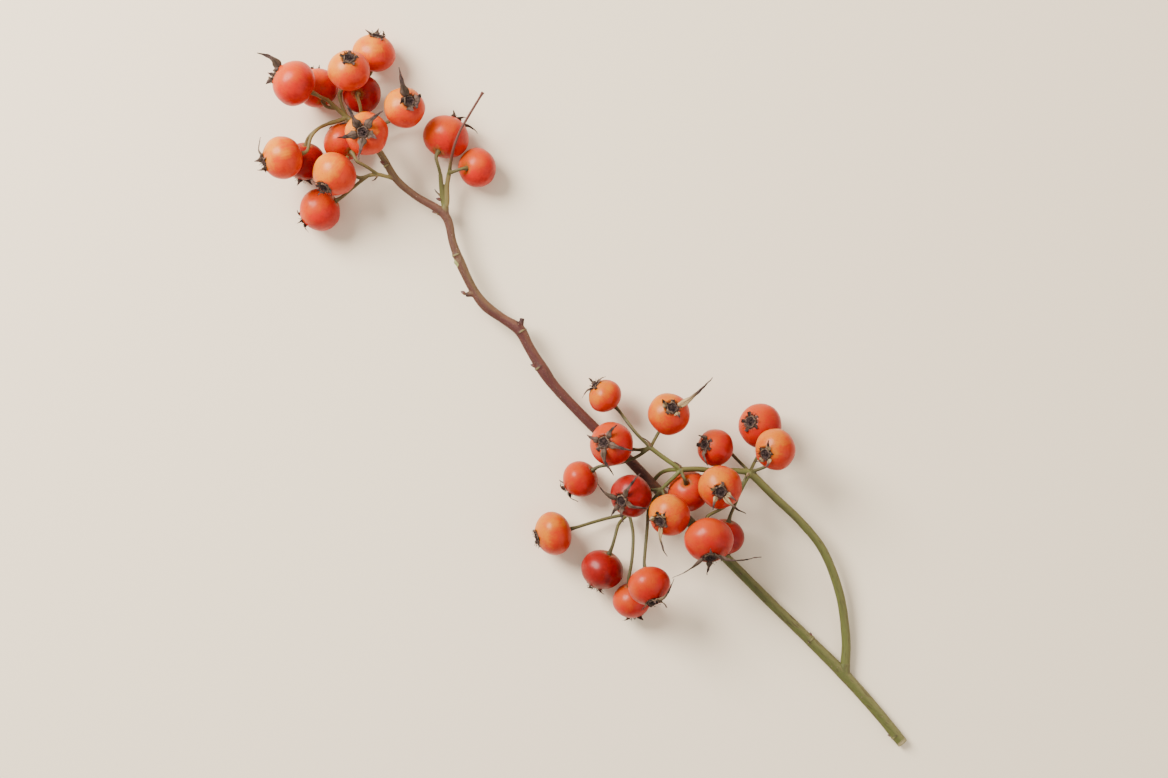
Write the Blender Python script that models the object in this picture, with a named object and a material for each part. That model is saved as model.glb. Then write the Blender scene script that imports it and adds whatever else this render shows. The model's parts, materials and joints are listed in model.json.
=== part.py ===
"""A cut sprig of rose hips, lying flat as it was cut.

A woody stem ends in a cluster of nine hips. A side stalk below it carries three more, another carries
two and a bare stalk that has lost its hip, and a side branch carries a second cluster of seventeen.
The lowest hips and the stem's cut end rest on the plane z = 0.
Tables are in millimetres, seen from above: x to the right, y up the stem's side, z off the table.
"""
import math

import bmesh
import bpy
from mathutils import Vector

MM = 0.001
GAP = 0.3  # between pieces that touch

# Hips: a slightly flattened ball, cut flat where the sepals sit and where the stalk enters.
HIP_SIDES = 14
HIP_RINGS = 6
STALK_FLAT_DEG = 12.0
CALYX_FLAT_DEG = 23.0

# Dried sepals: blades that rise from a thin plate over the flat end of a hip.
PLATE_REACH = 0.80  # of the flat end's radius
PLATE_THICK = 0.5
SEPAL_WIDTH = 2.2
SEPAL_TIP_WIDTH = 0.5
SEPAL_THICK = 0.45
SEPAL_STEPS = 4
SEPAL_LIFT_DEG = 50.0  # from the hip's axis to the blade's first direction
SEPAL_BEND = 0.45  # how far along the blade that first direction reaches
PLATE_SIDES = 10

# Stems and stalks.
STEM_SIDES = 10
STALK_SIDES = 6
STEM_STEP = 5.0
STALK_STEP = 3.4
STALK_RADIUS = 0.70
STALK_END_RADIUS = 0.95
STALK_APPROACH = 2.2  # length of the last, straight stretch in front of a hip

# name: x, y, z of the middle (None: it rests on the table), width, length over width,
# direction of the calyx, colour
HIPS = {
    "upper_hip_01": (-111.0, 117.0, 24.0, 17.7, 0.92, (-0.88, 0.44, 0.10), "red"),
    "upper_hip_02": (-103.5, 117.0, None, 16.2, 0.90, (-0.35, 0.80, -0.48), "red"),
    "upper_hip_03": (-90.0, 122.0, 23.5, 16.5, 0.90, (0.08, 0.57, 0.81), "orange"),
    "upper_hip_04": (-81.5, 130.5, None, 16.9, 0.86, (0.20, 0.90, 0.38), "orange"),
    "upper_hip_05": (-86.0, 114.3, 9.8, 15.0, 0.90, (0.17, 0.10, -0.98), "crimson"),
    "upper_hip_06": (-69.0, 108.0, 20.0, 16.0, 0.90, (0.33, 0.30, 0.90), "orange"),
    "upper_hip_07": (-83.0, 97.5, 26.5, 16.8, 0.90, (-0.14, 0.00, 0.99), "orange"),
    "upper_hip_08": (-93.5, 96.0, None, 15.7, 0.90, (-0.50, 0.62, -0.60), "red"),
    "upper_hip_09": (-115.5, 88.5, 23.5, 16.8, 0.92, (-0.93, -0.25, 0.27), "orange"),
    "upper_hip_10": (-108.5, 88.5, None, 16.0, 0.90, (-0.15, -0.87, -0.45), "crimson"),
    "upper_hip_11": (-96.0, 82.5, 20.0, 17.4, 0.90, (-0.48, -0.72, 0.50), "orange"),
    "upper_hip_12": (-102.5, 69.5, None, 16.8, 0.92, (-0.85, -0.47, -0.20), "red"),
    "upper_hip_13": (-53.5, 98.0, None, 18.0, 0.90, (0.38, 0.80, -0.46), "red"),
    "upper_hip_14": (-41.5, 86.0, None, 15.4, 0.90, (0.62, 0.10, -0.78), "red"),
    "lower_hip_01": (8.0, -2.5, 12.0, 13.4, 0.90, (-0.66, 0.70, 0.27), "orange"),
    "lower_hip_02": (32.5, -9.5, 22.0, 16.4, 0.88, (0.16, 0.35, 0.92), "orange"),
    "lower_hip_03": (10.5, -21.0, 19.5, 17.2, 0.88, (-0.42, 0.09, 0.90), "red"),
    "lower_hip_04": (-1.5, -35.0, None, 14.5, 0.92, (-0.75, -0.55, -0.35), "red"),
    "lower_hip_05": (18.0, -41.0, 19.5, 16.6, 0.88, (-0.54, -0.24, 0.81), "crimson"),
    "lower_hip_06": (-12.0, -56.0, None, 17.2, 0.82, (-0.94, -0.24, 0.24), "orange"),
    "lower_hip_07": (7.0, -70.0, None, 16.8, 0.90, (-0.38, -0.88, -0.28), "crimson"),
    "lower_hip_08": (18.5, -82.0, None, 15.0, 0.90, (0.15, -0.90, -0.40), "red"),
    "lower_hip_09": (25.0, -75.5, 21.5, 16.6, 0.88, (0.20, -0.85, 0.48), "red"),
    "lower_hip_10": (32.5, -48.0, 27.0, 16.4, 0.88, (-0.53, -0.32, 0.79), "orange"),
    "lower_hip_11": (40.5, -39.5, 12.5, 16.0, 0.90, (0.20, -0.50, -0.85), "red"),
    "lower_hip_12": (52.0, -37.5, 25.0, 16.8, 0.88, (-0.03, -0.20, 0.98), "orange"),
    "lower_hip_13": (47.5, -57.5, 28.5, 19.0, 0.86, (0.05, -0.84, 0.54), "red"),
    "lower_hip_14": (54.5, -57.0, 12.5, 15.0, 0.90, (-0.20, -0.92, -0.30), "crimson"),
    "lower_hip_15": (50.5, -22.5, 14.0, 14.5, 0.90, (-0.66, 0.18, 0.73), "red"),
    "lower_hip_16": (68.0, -14.0, 11.5, 17.4, 0.88, (-0.55, 0.20, 0.81), "red"),
    "lower_hip_17": (73.0, -23.0, 26.0, 16.2, 0.88, (-0.60, -0.24, 0.76), "orange"),
}

# name: the sepals' tips, from the middle of the calyx's hip
SEPAL_TIPS = {
    "upper_hip_01": ((-14.0, 11.5, 1.5), (-10.5, -0.5, 2.0), (-10.5, 4.5, -4.0)),
    "upper_hip_02": ((-6.0, 7.0, -3.0), (0.5, 9.0, -3.5)),
    "upper_hip_04": ((-3.0, 8.8, 2.0), (3.5, 8.4, 3.0), (1.5, 9.5, -1.5)),
    "upper_hip_06": ((-1.5, 14.5, 9.0), (6.5, 4.5, 8.5), (4.0, -2.0, 9.0)),
    "upper_hip_07": (
        (-6.5, 10.5, 11.0),
        (7.0, 7.5, 11.5),
        (-10.5, -2.5, 10.0),
        (-2.5, -10.5, 10.0),
        (4.5, -3.0, 11.5),
    ),
    "upper_hip_09": ((-7.5, 7.5, 4.5), (-9.0, -5.0, 4.5), (-11.0, -1.0, -1.0)),
    "upper_hip_10": ((-3.0, -9.5, 0.5), (2.5, -9.0, -2.0)),
    "upper_hip_11": ((-7.5, -3.5, 7.0), (-0.5, -8.8, 5.5), (-6.0, -8.5, 2.0)),
    "upper_hip_12": ((-9.0, -0.5, 1.0), (-4.0, -8.5, 2.0), (-9.0, -5.0, -4.0)),
    "upper_hip_13": ((8.0, 7.5, -0.5), (12.5, 1.5, -2.5), (3.0, 10.0, 1.0)),
    "lower_hip_01": ((0.5, 7.5, 3.5), (-8.5, -1.0, 2.5), (-6.5, 7.0, 0.0)),
    "lower_hip_02": ((16.5, 14.0, 9.0), (-2.5, 5.5, 9.0), (4.0, -1.5, 9.0)),
    "lower_hip_03": ((2.0, 7.5, 9.5), (1.0, -12.0, 6.5), (8.0, -2.5, 9.5), (-9.5, 3.5, 5.0)),
    "lower_hip_04": ((-7.5, -0.5, 4.5), (-1.0, -8.5, 1.5), (-8.0, -0.5, -4.5)),
    "lower_hip_05": (
        (3.5, 9.0, 9.5),
        (-13.5, 6.5, -1.0),
        (-8.0, -8.0, 5.5),
        (6.5, -4.5, 9.0),
        (-3.0, -10.0, 6.0),
    ),
    "lower_hip_07": ((-6.0, -6.5, 2.5), (0.5, -9.5, 0.5)),
    "lower_hip_08": ((-3.5, -8.0, -1.0), (4.5, -8.0, 0.5)),
    "lower_hip_09": ((9.5, 3.0, 6.5), (6.5, -8.0, 5.5), (-3.0, -9.0, 5.0), (2.0, -6.0, 10.0)),
    "lower_hip_10": ((-1.0, -15.5, 3.5), (-9.0, -3.0, 6.5), (-1.5, 1.5, 10.5)),
    "lower_hip_12": ((5.5, -5.0, 10.0), (-3.0, -8.5, 8.5), (9.5, -10.0, 6.0), (-5.5, 1.0, 10.0)),
    "lower_hip_13": (
        (0.0, -2.5, 12.0),
        (-1.0, -13.5, 1.5),
        (4.5, -7.5, 10.0),
        (19.5, -6.0, 5.0),
        (-14.0, -14.0, 4.0),
    ),
    "lower_hip_15": ((-3.0, -6.5, 7.0), (-6.5, 5.0, 5.5)),
    "lower_hip_17": ((-4.0, -6.5, 7.5), (-8.5, -4.5, 5.5), (-3.0, 3.5, 9.0)),
}

# x, y, z, radius
MAIN_STEM = (
    (-82.0, 95.5, 10.5, 1.35),
    (-78.0, 90.0, 10.0, 1.35),
    (-73.0, 81.5, 9.5, 1.50),
    (-65.5, 75.0, 9.0, 1.45),
    (-54.0, 67.5, 8.5, 1.75),
    (-51.0, 57.0, 8.5, 1.60),
    (-48.0, 49.0, 8.5, 1.95),
    (-43.5, 39.5, 8.5, 1.75),
    (-38.5, 32.5, 8.5, 2.10),
    (-31.0, 27.0, 8.5, 1.90),
    (-25.0, 23.0, 8.5, 2.35),
    (-21.5, 16.5, 8.5, 2.00),
    (-16.0, 7.5, 8.5, 2.40),
    (-10.5, 0.0, 8.2, 2.05),
    (2.5, -13.5, 7.8, 2.05),
    (10.5, -21.0, 7.5, 2.10),
    (18.0, -28.0, 7.2, 2.05),
    (27.0, -37.5, 6.8, 2.10),
    (40.0, -50.5, 4.8, 2.00),
    (54.5, -65.0, 3.6, 1.95),
    (72.5, -83.0, 3.0, 2.00),
    (87.5, -97.5, 2.6, 2.10),
    (101.5, -111.5, 2.4, 2.35),
    (114.0, -125.5, 2.3, 2.20),
    (124.8, -138.8, 2.2, 2.20),
)
# Short woody pieces on the stem: route, each x, y, z, radius
STEM_SPURS = {
    "left_spur": ((-43.5, 37.0, 8.5, 1.30), (-46.0, 36.5, 9.0, 0.90)),
    "upper_spur": ((-25.0, 23.0, 8.5, 1.40), (-24.0, 27.2, 8.8, 1.00)),
    "side_stub": ((-73.0, 81.5, 9.5, 1.00), (-76.0, 82.3, 9.5, 0.85)),
    "right_stub": ((-54.0, 67.5, 8.5, 1.60), (-53.9, 71.0, 8.5, 1.45)),
    "branch_stub": ((101.5, -111.5, 2.4, 2.10), (101.8, -106.8, 2.6, 1.95)),
}

# Each group of stalks: its own stalk first, then its forks and the hips at their ends.
# A route is x, y, z, radius; a stalk that ends at a hip leaves its last points to the hip.
TIP_STALKS = {
    "axis": ((-82.3, 96.0, 10.6, 1.25), (-87.0, 101.0, 11.5, 1.15), (-91.5, 105.0, 12.0, 1.15)),
    "left_fork": (
        (-91.5, 105.0, 12.0, 1.00),
        (-95.5, 108.3, 13.6, 0.90),
        (-99.0, 111.5, 16.0, 0.85),
    ),
    "lower_left_fork": (
        (-91.5, 105.0, 12.0, 1.00),
        (-95.0, 103.6, 13.2, 0.90),
        (-98.5, 102.5, 14.2, 0.85),
    ),
}
TIP_PEDICELS = {
    "upper_hip_01": ((-99.0, 111.5, 16.0), (-101.0, 112.0, 19.5)),
    "upper_hip_02": ((-95.5, 108.3, 13.6), (-97.6, 108.6, 13.6)),
    "upper_hip_03": ((-91.5, 105.0, 12.0), (-93.6, 109.5, 12.8), (-94.6, 114.6, 14.0)),
    "upper_hip_04": ((-91.5, 105.0, 12.0), (-94.2, 110.0, 7.2), (-94.7, 116.5, 3.0), (-91.0, 122.0, 2.4)),
    "upper_hip_05": ((-87.0, 101.0, 11.5), (-86.0, 105.0, 15.0), (-86.2, 109.2, 17.8)),
    "upper_hip_06": ((-87.0, 101.0, 11.5), (-81.0, 101.5, 9.5), (-76.0, 103.5, 9.5)),
    "upper_hip_07": ((-91.5, 105.0, 12.0), (-88.0, 101.5, 15.0), (-84.5, 98.5, 16.5)),
    "upper_hip_09": ((-98.5, 102.5, 14.2), (-102.0, 100.5, 17.5), (-105.0, 96.5, 20.3)),
    "upper_hip_10": ((-98.5, 102.5, 14.2), (-103.0, 100.5, 13.4)),
}
SIDE_STALKS = {
    "axis": ((-76.3, 82.3, 9.5, 0.85), (-80.0, 83.3, 9.5, 0.80), (-83.5, 82.8, 9.5, 0.85)),
}
SIDE_PEDICELS = {
    "upper_hip_08": ((-80.0, 83.3, 9.5), (-85.0, 86.5, 12.5), (-88.0, 88.0, 14.0)),
    "upper_hip_11": ((-83.5, 82.8, 9.5), (-87.5, 81.8, 9.4), (-90.5, 84.5, 9.8), (-91.5, 88.5, 12.0)),
    "upper_hip_12": ((-83.5, 82.8, 9.5), (-88.5, 79.0, 9.3)),
}
RIGHT_STALKS = {
    "axis": ((-53.9, 71.3, 8.5, 1.35), (-53.9, 73.0, 8.6, 1.30)),
    "left_fork": ((-53.9, 73.0, 8.6, 1.10), (-55.5, 78.0, 9.6, 0.90), (-55.6, 83.0, 11.4, 0.85)),
    "right_fork": ((-53.9, 73.0, 8.6, 1.10), (-53.2, 78.5, 9.4, 0.95), (-52.3, 83.5, 10.6, 0.95)),
    "bare_stalk": (
        (-52.3, 83.5, 10.6, 0.85),
        (-51.6, 87.0, 13.6, 0.70),
        (-50.3, 92.5, 17.8, 0.60),
        (-48.0, 98.5, 19.4, 0.55),
        (-45.2, 103.5, 19.8, 0.55),
        (-39.4, 113.0, 20.5, 0.55),
        (-38.8, 114.0, 20.6, 0.80),
    ),
}
RIGHT_PEDICELS = {
    "upper_hip_13": ((-55.6, 83.0, 11.4), (-56.4, 86.5, 13.4)),
    "upper_hip_14": ((-52.3, 83.5, 10.6), (-50.3, 84.0, 13.4)),
}
BRANCH_STALKS = {
    "axis": (
        (101.8, -106.4, 2.6, 1.90),
        (102.0, -97.0, 3.2, 1.80),
        (99.5, -80.0, 5.0, 1.75),
        (93.0, -63.0, 7.5, 1.70),
        (84.0, -51.5, 9.2, 1.65),
        (74.0, -42.0, 11.0, 1.60),
        (64.0, -32.0, 12.5, 1.60),
    ),
    "cross_fork": (
        (64.0, -32.0, 12.5, 1.30),
        (57.5, -31.5, 13.6, 1.15),
        (51.0, -31.6, 14.4, 1.10),
        (44.0, -30.8, 15.6, 1.10),
        (37.5, -31.0, 17.0, 1.15),
    ),
    "upper_fork": (
        (37.5, -31.0, 17.0, 1.05),
        (31.5, -27.0, 16.8, 0.95),
        (25.5, -22.5, 16.5, 0.95),
    ),
    "under_fork": (
        (37.5, -31.0, 17.0, 1.00),
        (32.8, -31.2, 13.0, 0.85),
        (29.2, -33.0, 6.5, 0.80),
        (26.6, -36.5, 2.5, 0.80),
        (22.0, -43.0, 2.2, 0.80),
        (17.5, -48.5, 4.5, 0.85),
    ),
    "middle_fork": ((37.5, -31.0, 17.0, 0.95), (34.5, -34.0, 17.0, 0.85), (30.0, -38.5, 14.8, 0.85)),
    "right_fork": ((64.0, -32.0, 12.5, 1.10), (62.0, -36.0, 12.8, 0.90), (60.0, -40.0, 13.2, 0.85)),
}
BRANCH_PEDICELS = {
    "lower_hip_01": ((25.5, -22.5, 16.5), (20.5, -17.5, 15.5), (16.5, -12.5, 13.5)),
    "lower_hip_02": ((25.5, -22.5, 16.5), (28.0, -18.0, 13.6)),
    "lower_hip_03": ((25.5, -22.5, 16.5), (20.5, -23.5, 13.5)),
    "lower_hip_04": ((25.5, -22.5, 16.5), (20.5, -26.0, 14.2), (14.0, -28.5, 12.6)),
    "lower_hip_05": ((30.0, -38.5, 14.8), (26.0, -39.0, 12.6)),
    "lower_hip_06": ((17.5, -48.5, 4.5), (8.0, -50.5, 4.6)),
    "lower_hip_07": ((17.5, -48.5, 4.5), (13.5, -52.0, 9.0), (12.0, -57.0, 11.0)),
    "lower_hip_08": ((17.5, -48.5, 4.5), (19.0, -56.0, 7.5), (18.5, -66.0, 11.0)),
    "lower_hip_09": ((30.0, -38.5, 14.8), (25.2, -45.0, 13.2), (24.4, -53.0, 14.0)),
    "lower_hip_10": ((30.0, -38.5, 14.8), (31.8, -43.0, 16.6)),
    "lower_hip_11": ((37.5, -31.0, 17.0), (37.6, -32.6, 19.4)),
    "lower_hip_12": ((62.0, -36.0, 12.8), (56.5, -37.0, 13.0)),
    "lower_hip_13": ((60.0, -40.0, 13.2), (54.5, -45.0, 17.5)),
    "lower_hip_14": ((60.0, -40.0, 13.2), (58.2, -44.5, 15.0)),
    "lower_hip_15": ((64.0, -32.0, 12.5), (59.5, -27.5, 9.0)),
    "lower_hip_16": ((64.0, -32.0, 12.5), (67.5, -26.0, 7.0)),
    "lower_hip_17": ((64.0, -32.0, 12.5), (70.0, -30.0, 13.0), (76.5, -25.5, 15.5)),
}

# name: colour, roughness
FINISHES = {
    "red_hip": ((0.62, 0.06, 0.03), 0.35),
    "orange_hip": ((0.75, 0.14, 0.035), 0.35),
    "crimson_hip": ((0.45, 0.03, 0.03), 0.38),
    "dry_sepal": ((0.10, 0.075, 0.05), 0.85),
    "stem_bark": ((0.22, 0.10, 0.065), 0.65),
    "green_stalk": ((0.20, 0.19, 0.06), 0.60),
}


def clear_scene():
    for leftover in list(bpy.data.objects):
        bpy.data.objects.remove(leftover, do_unlink=True)


def finish(name):
    """A Principled material from the table, made once."""
    if name in bpy.data.materials:
        return bpy.data.materials[name]
    colour, roughness = FINISHES[name]
    made = bpy.data.materials.new(name)
    made.use_nodes = True
    shader = made.node_tree.nodes["Principled BSDF"]
    shader.inputs["Base Color"].default_value = (*colour, 1.0)
    shader.inputs["Roughness"].default_value = roughness
    shader.inputs["Metallic"].default_value = 0.0
    return made


def placed(name, shape, finish_name, smooth=True):
    """A bmesh in millimetres as a named object in metres."""
    bmesh.ops.scale(shape, vec=(MM, MM, MM), verts=shape.verts)
    mesh = bpy.data.meshes.new(name)
    shape.to_mesh(mesh)
    shape.free()
    if smooth:
        mesh.shade_smooth()
    mesh.materials.append(finish(finish_name))
    made = bpy.data.objects.new(name, mesh)
    bpy.context.scene.collection.objects.link(made)
    return made


def turned_to(direction):
    """The shortest turn that takes +Z to a direction."""
    return Vector((0.0, 0.0, 1.0)).rotation_difference(Vector(direction)).to_matrix()


class Hip:
    """Where a hip lies and which way it faces."""

    def __init__(self, row):
        x, y, z, width, length_ratio, direction, self.colour = row
        self.radius = width / 2
        self.half_length = self.radius * length_ratio
        self.axis = Vector(direction).normalized()
        self.turn = turned_to(self.axis)
        self.middle = Vector((x, y, 0.0))
        self.middle.z = z if z is not None else -min(point.z for point in self.ring_points())

    def ring(self, degrees):
        """Radius and height of the ring at an angle up from the stalk end."""
        angle = math.radians(degrees)
        return self.radius * math.sin(angle), -self.half_length * math.cos(angle)

    def rings(self):
        span = 180.0 - STALK_FLAT_DEG - CALYX_FLAT_DEG
        return [self.ring(STALK_FLAT_DEG + span * step / HIP_RINGS) for step in range(HIP_RINGS + 1)]

    def ring_points(self):
        """Corner points around the hip's own middle, ring by ring from the stalk end."""
        points = []
        for radius, height in self.rings():
            for side in range(HIP_SIDES):
                angle = math.tau * side / HIP_SIDES
                points.append(
                    self.turn @ Vector((radius * math.cos(angle), radius * math.sin(angle), height))
                )
        return points

    def on_axis(self, height):
        return self.middle + self.axis * height

    def stalk_end(self):
        return self.ring(STALK_FLAT_DEG)[1]

    def calyx_end(self):
        return self.ring(180.0 - CALYX_FLAT_DEG)


def loft(shape, loops):
    """Joins loops of corners, each turning the same way round the way forward, and closes both ends."""
    made = [[shape.verts.new(point) for point in loop] for loop in loops]
    for low, high in zip(made, made[1:]):
        for side in range(len(low)):
            after = (side + 1) % len(low)
            shape.faces.new((low[side], low[after], high[after], high[side]))
    shape.faces.new(reversed(made[0]))
    shape.faces.new(made[-1])


def build_hip(name, hip):
    points = [hip.middle + point for point in hip.ring_points()]
    shape = bmesh.new()
    loft(shape, [points[start:start + HIP_SIDES] for start in range(0, len(points), HIP_SIDES)])
    placed(name, shape, f"{hip.colour}_hip")


def sepal_path(hip, outward, tip):
    """Points along one sepal, from the plate's edge, which it leaves outward, to its tip."""
    flat_radius, flat_height = hip.calyx_end()
    start = hip.axis * (flat_height + GAP + PLATE_THICK / 2) + outward * flat_radius * PLATE_REACH
    angle = math.radians(SEPAL_LIFT_DEG)
    first = hip.axis * math.cos(angle) + outward * math.sin(angle)
    bend = start + first * (tip - start).length * SEPAL_BEND
    points = []
    for step in range(SEPAL_STEPS + 1):
        t = step / SEPAL_STEPS
        points.append(start * (1 - t) ** 2 + bend * 2 * t * (1 - t) + tip * t * t)
    return points


def plate_side(hip, tip):
    """The side of the plate that a sepal's tip lies nearest to."""
    local = hip.turn.inverted() @ tip
    return math.floor(math.atan2(local.y, local.x) / math.tau * PLATE_SIDES) % PLATE_SIDES


def side_way(hip, side):
    """The way out from the hip's axis through the middle of one side of the plate."""
    angle = math.tau * (side + 0.5) / PLATE_SIDES
    return hip.turn @ Vector((math.cos(angle), math.sin(angle), 0.0))


def build_calyx(name, hip, tips):
    """A thin ten-cornered plate whose edges grow out into the sepals, as one closed body."""
    flat_radius, flat_height = hip.calyx_end()
    edge = flat_radius * PLATE_REACH
    low = flat_height + GAP
    shape = bmesh.new()
    corners = []
    for height in (low, low + PLATE_THICK):
        ring = []
        for side in range(PLATE_SIDES):
            angle = math.tau * side / PLATE_SIDES
            local = Vector((edge * math.cos(angle), edge * math.sin(angle), height))
            ring.append(shape.verts.new(hip.middle + hip.turn @ local))
        corners.append(ring)
    bottom, top = corners
    shape.faces.new(reversed(bottom))
    shape.faces.new(top)
    grown = {}
    for tip in map(Vector, tips):
        side = plate_side(hip, tip)
        grown[side] = sepal_path(hip, side_way(hip, side), tip)
    for side in range(PLATE_SIDES):
        after = (side + 1) % PLATE_SIDES
        loop = [bottom[side], bottom[after], top[after], top[side]]
        if side not in grown:
            shape.faces.new(loop)
            continue
        across = (bottom[after].co - bottom[side].co).normalized()
        points = grown[side]
        for step in range(1, SEPAL_STEPS + 1):
            t = step / SEPAL_STEPS
            point = points[step]
            along = (point - points[step - 1]).normalized()
            wide = (across - along * across.dot(along)).normalized()
            thick = along.cross(wide)
            half = (SEPAL_WIDTH * (1 - t) + SEPAL_TIP_WIDTH * t) / 2
            lift = SEPAL_THICK / 2
            middle = hip.middle + point
            ends = [
                middle - wide * half - thick * lift,
                middle + wide * half - thick * lift,
                middle + wide * half + thick * lift,
                middle - wide * half + thick * lift,
            ]
            made = [shape.verts.new(end) for end in ends]
            for corner in range(4):
                following = (corner + 1) % 4
                shape.faces.new((loop[corner], loop[following], made[following], made[corner]))
            loop = made
        shape.faces.new(loop)
    placed(name, shape, "dry_sepal", smooth=False)


def smooth_route(route, step):
    """Points about a step apart on the smooth curve through a route of x, y, z, radius."""
    rows = [Vector(row) for row in route]
    rows = [rows[0] * 2 - rows[1], *rows, rows[-1] * 2 - rows[-2]]
    points = []
    for before, start, end, after in zip(rows, rows[1:], rows[2:], rows[3:]):
        count = max(1, round((end - start).xyz.length / step))
        for part in range(count):
            t = part / count
            points.append(
                (
                    start * 2
                    + (end - before) * t
                    + (before * 2 - start * 5 + end * 4 - after) * t * t
                    + (start * 3 - before - end * 3 + after) * t * t * t
                )
                / 2
            )
    points.append(rows[-2])
    return points


def tube(route, step, sides):
    """A closed tube along a route of x, y, z, radius, its sides carried along without a twist."""
    rows = smooth_route(route, step)
    points = [row.xyz for row in rows]
    loops = []
    across = None
    for index, row in enumerate(rows):
        ahead = points[min(index + 1, len(points) - 1)] - points[max(index - 1, 0)]
        along = ahead.normalized()
        if across is None:
            across = along.orthogonal()
        across = (across - along * across.dot(along)).normalized()
        other = along.cross(across)
        loop = []
        for side in range(sides):
            angle = math.tau * side / sides
            spread = across * math.cos(angle) + other * math.sin(angle)
            loop.append(points[index] + spread * row.w)
        loops.append(loop)
    shape = bmesh.new()
    loft(shape, loops)
    return shape


def pedicel_route(hip, route):
    """A stalk's own points, then a straight stretch up to the hip's flat stalk end."""
    rows = [(*point, STALK_RADIUS) for point in route]
    end = hip.stalk_end() - GAP
    rows.append((*hip.on_axis(end - STALK_APPROACH), STALK_RADIUS))
    rows.append((*hip.on_axis(end), STALK_END_RADIUS))
    return rows


def grown_together(name, routes, step, sides, finish_name):
    """One body from several tubes that grow out of each other."""
    first, *others = routes
    trunk = placed(name, tube(first, step, sides), finish_name)
    parts = bpy.data.collections.new(f"{name}_parts")
    bpy.context.scene.collection.children.link(parts)
    for number, route in enumerate(others):
        part = placed(f"{name}_part_{number}", tube(route, STALK_STEP, STALK_SIDES), finish_name)
        bpy.context.scene.collection.objects.unlink(part)
        parts.objects.link(part)
        part.hide_render = True
        part.display_type = "WIRE"
    join = trunk.modifiers.new("grown_together", "BOOLEAN")
    join.operation = "UNION"
    join.operand_type = "COLLECTION"
    join.collection = parts
    join.solver = "EXACT"


def build_stalks(name, hips, stalks, pedicels):
    routes = list(stalks.values())
    for hip_name, route in pedicels.items():
        routes.append(pedicel_route(hips[hip_name], route))
    grown_together(name, routes, STALK_STEP, STALK_SIDES, "green_stalk")


def main():
    clear_scene()
    hips = {name: Hip(row) for name, row in HIPS.items()}
    for name, hip in hips.items():
        build_hip(name, hip)
    for name, tips in SEPAL_TIPS.items():
        build_calyx(name.replace("hip", "calyx"), hips[name], tips)
    grown_together("main_stem", [MAIN_STEM, *STEM_SPURS.values()], STEM_STEP, STEM_SIDES, "stem_bark")
    build_stalks("tip_stalks", hips, TIP_STALKS, TIP_PEDICELS)
    build_stalks("side_stalks", hips, SIDE_STALKS, SIDE_PEDICELS)
    build_stalks("right_stalks", hips, RIGHT_STALKS, RIGHT_PEDICELS)
    build_stalks("side_branch", hips, BRANCH_STALKS, BRANCH_PEDICELS)


main()
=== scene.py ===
# %% [markdown]
# # A sprig of rose hips on a table
#
# A cut rose stem in autumn: a thin brown stem that bends at each bud, stalks that fork like a small
# tree, and at every end a round hip with the dried remains of its flower. The solid model gives every
# piece its place and size. This lesson gives each piece its true surface: it measures the solids,
# grows new meshes on the same places with Geometry Nodes, and paints them with procedural materials.
#
# The first cell loads the solids and keeps their box, for the camera and for the last cell to print.

# %% The frame and its box
import json
import math

import bpy
import numpy as np
from mathutils import Matrix, Vector
from mathutils.kdtree import KDTree


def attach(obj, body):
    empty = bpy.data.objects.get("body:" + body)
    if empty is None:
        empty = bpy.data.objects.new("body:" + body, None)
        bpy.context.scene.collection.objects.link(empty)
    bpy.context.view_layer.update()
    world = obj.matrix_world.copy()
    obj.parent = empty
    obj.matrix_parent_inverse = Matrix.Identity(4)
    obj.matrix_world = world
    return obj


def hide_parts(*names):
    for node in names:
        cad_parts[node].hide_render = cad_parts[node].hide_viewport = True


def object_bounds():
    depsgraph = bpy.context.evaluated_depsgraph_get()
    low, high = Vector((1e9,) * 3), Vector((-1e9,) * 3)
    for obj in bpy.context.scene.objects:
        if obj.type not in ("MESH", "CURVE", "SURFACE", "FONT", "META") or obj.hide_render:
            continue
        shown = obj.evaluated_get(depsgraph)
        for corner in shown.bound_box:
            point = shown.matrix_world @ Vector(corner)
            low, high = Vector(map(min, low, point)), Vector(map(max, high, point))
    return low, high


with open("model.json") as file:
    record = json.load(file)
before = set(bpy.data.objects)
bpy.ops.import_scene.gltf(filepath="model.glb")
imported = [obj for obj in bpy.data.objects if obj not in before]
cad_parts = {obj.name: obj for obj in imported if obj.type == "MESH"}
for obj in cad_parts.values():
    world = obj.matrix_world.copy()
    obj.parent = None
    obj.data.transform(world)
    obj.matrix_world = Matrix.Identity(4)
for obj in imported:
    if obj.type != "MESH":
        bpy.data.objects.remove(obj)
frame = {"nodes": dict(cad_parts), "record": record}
cad_low, cad_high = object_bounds()
MM = 0.001
print("frame:", len(frame["nodes"]), "solids, box in mm", [round(v / MM, 1) for v in cad_high - cad_low])

# %% [markdown]
# ## Sums written as sums
#
# Both the shapes and the finishes below follow rules, such as "the stalk end has a dimple". In a node
# tree a rule takes many small math nodes. They could be placed one by one, but then the formula can't
# be read any more. Here a node's result is wrapped in a Term, which may be added and multiplied like a
# number; each sign adds the math node that it stands for.


# %% Terms
def sign(operation, swapped=False):
    """What a sign between two terms does."""

    def apply(self, other):
        return self.nodes.math(operation, *((other, self) if swapped else (self, other)))

    return apply


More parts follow.
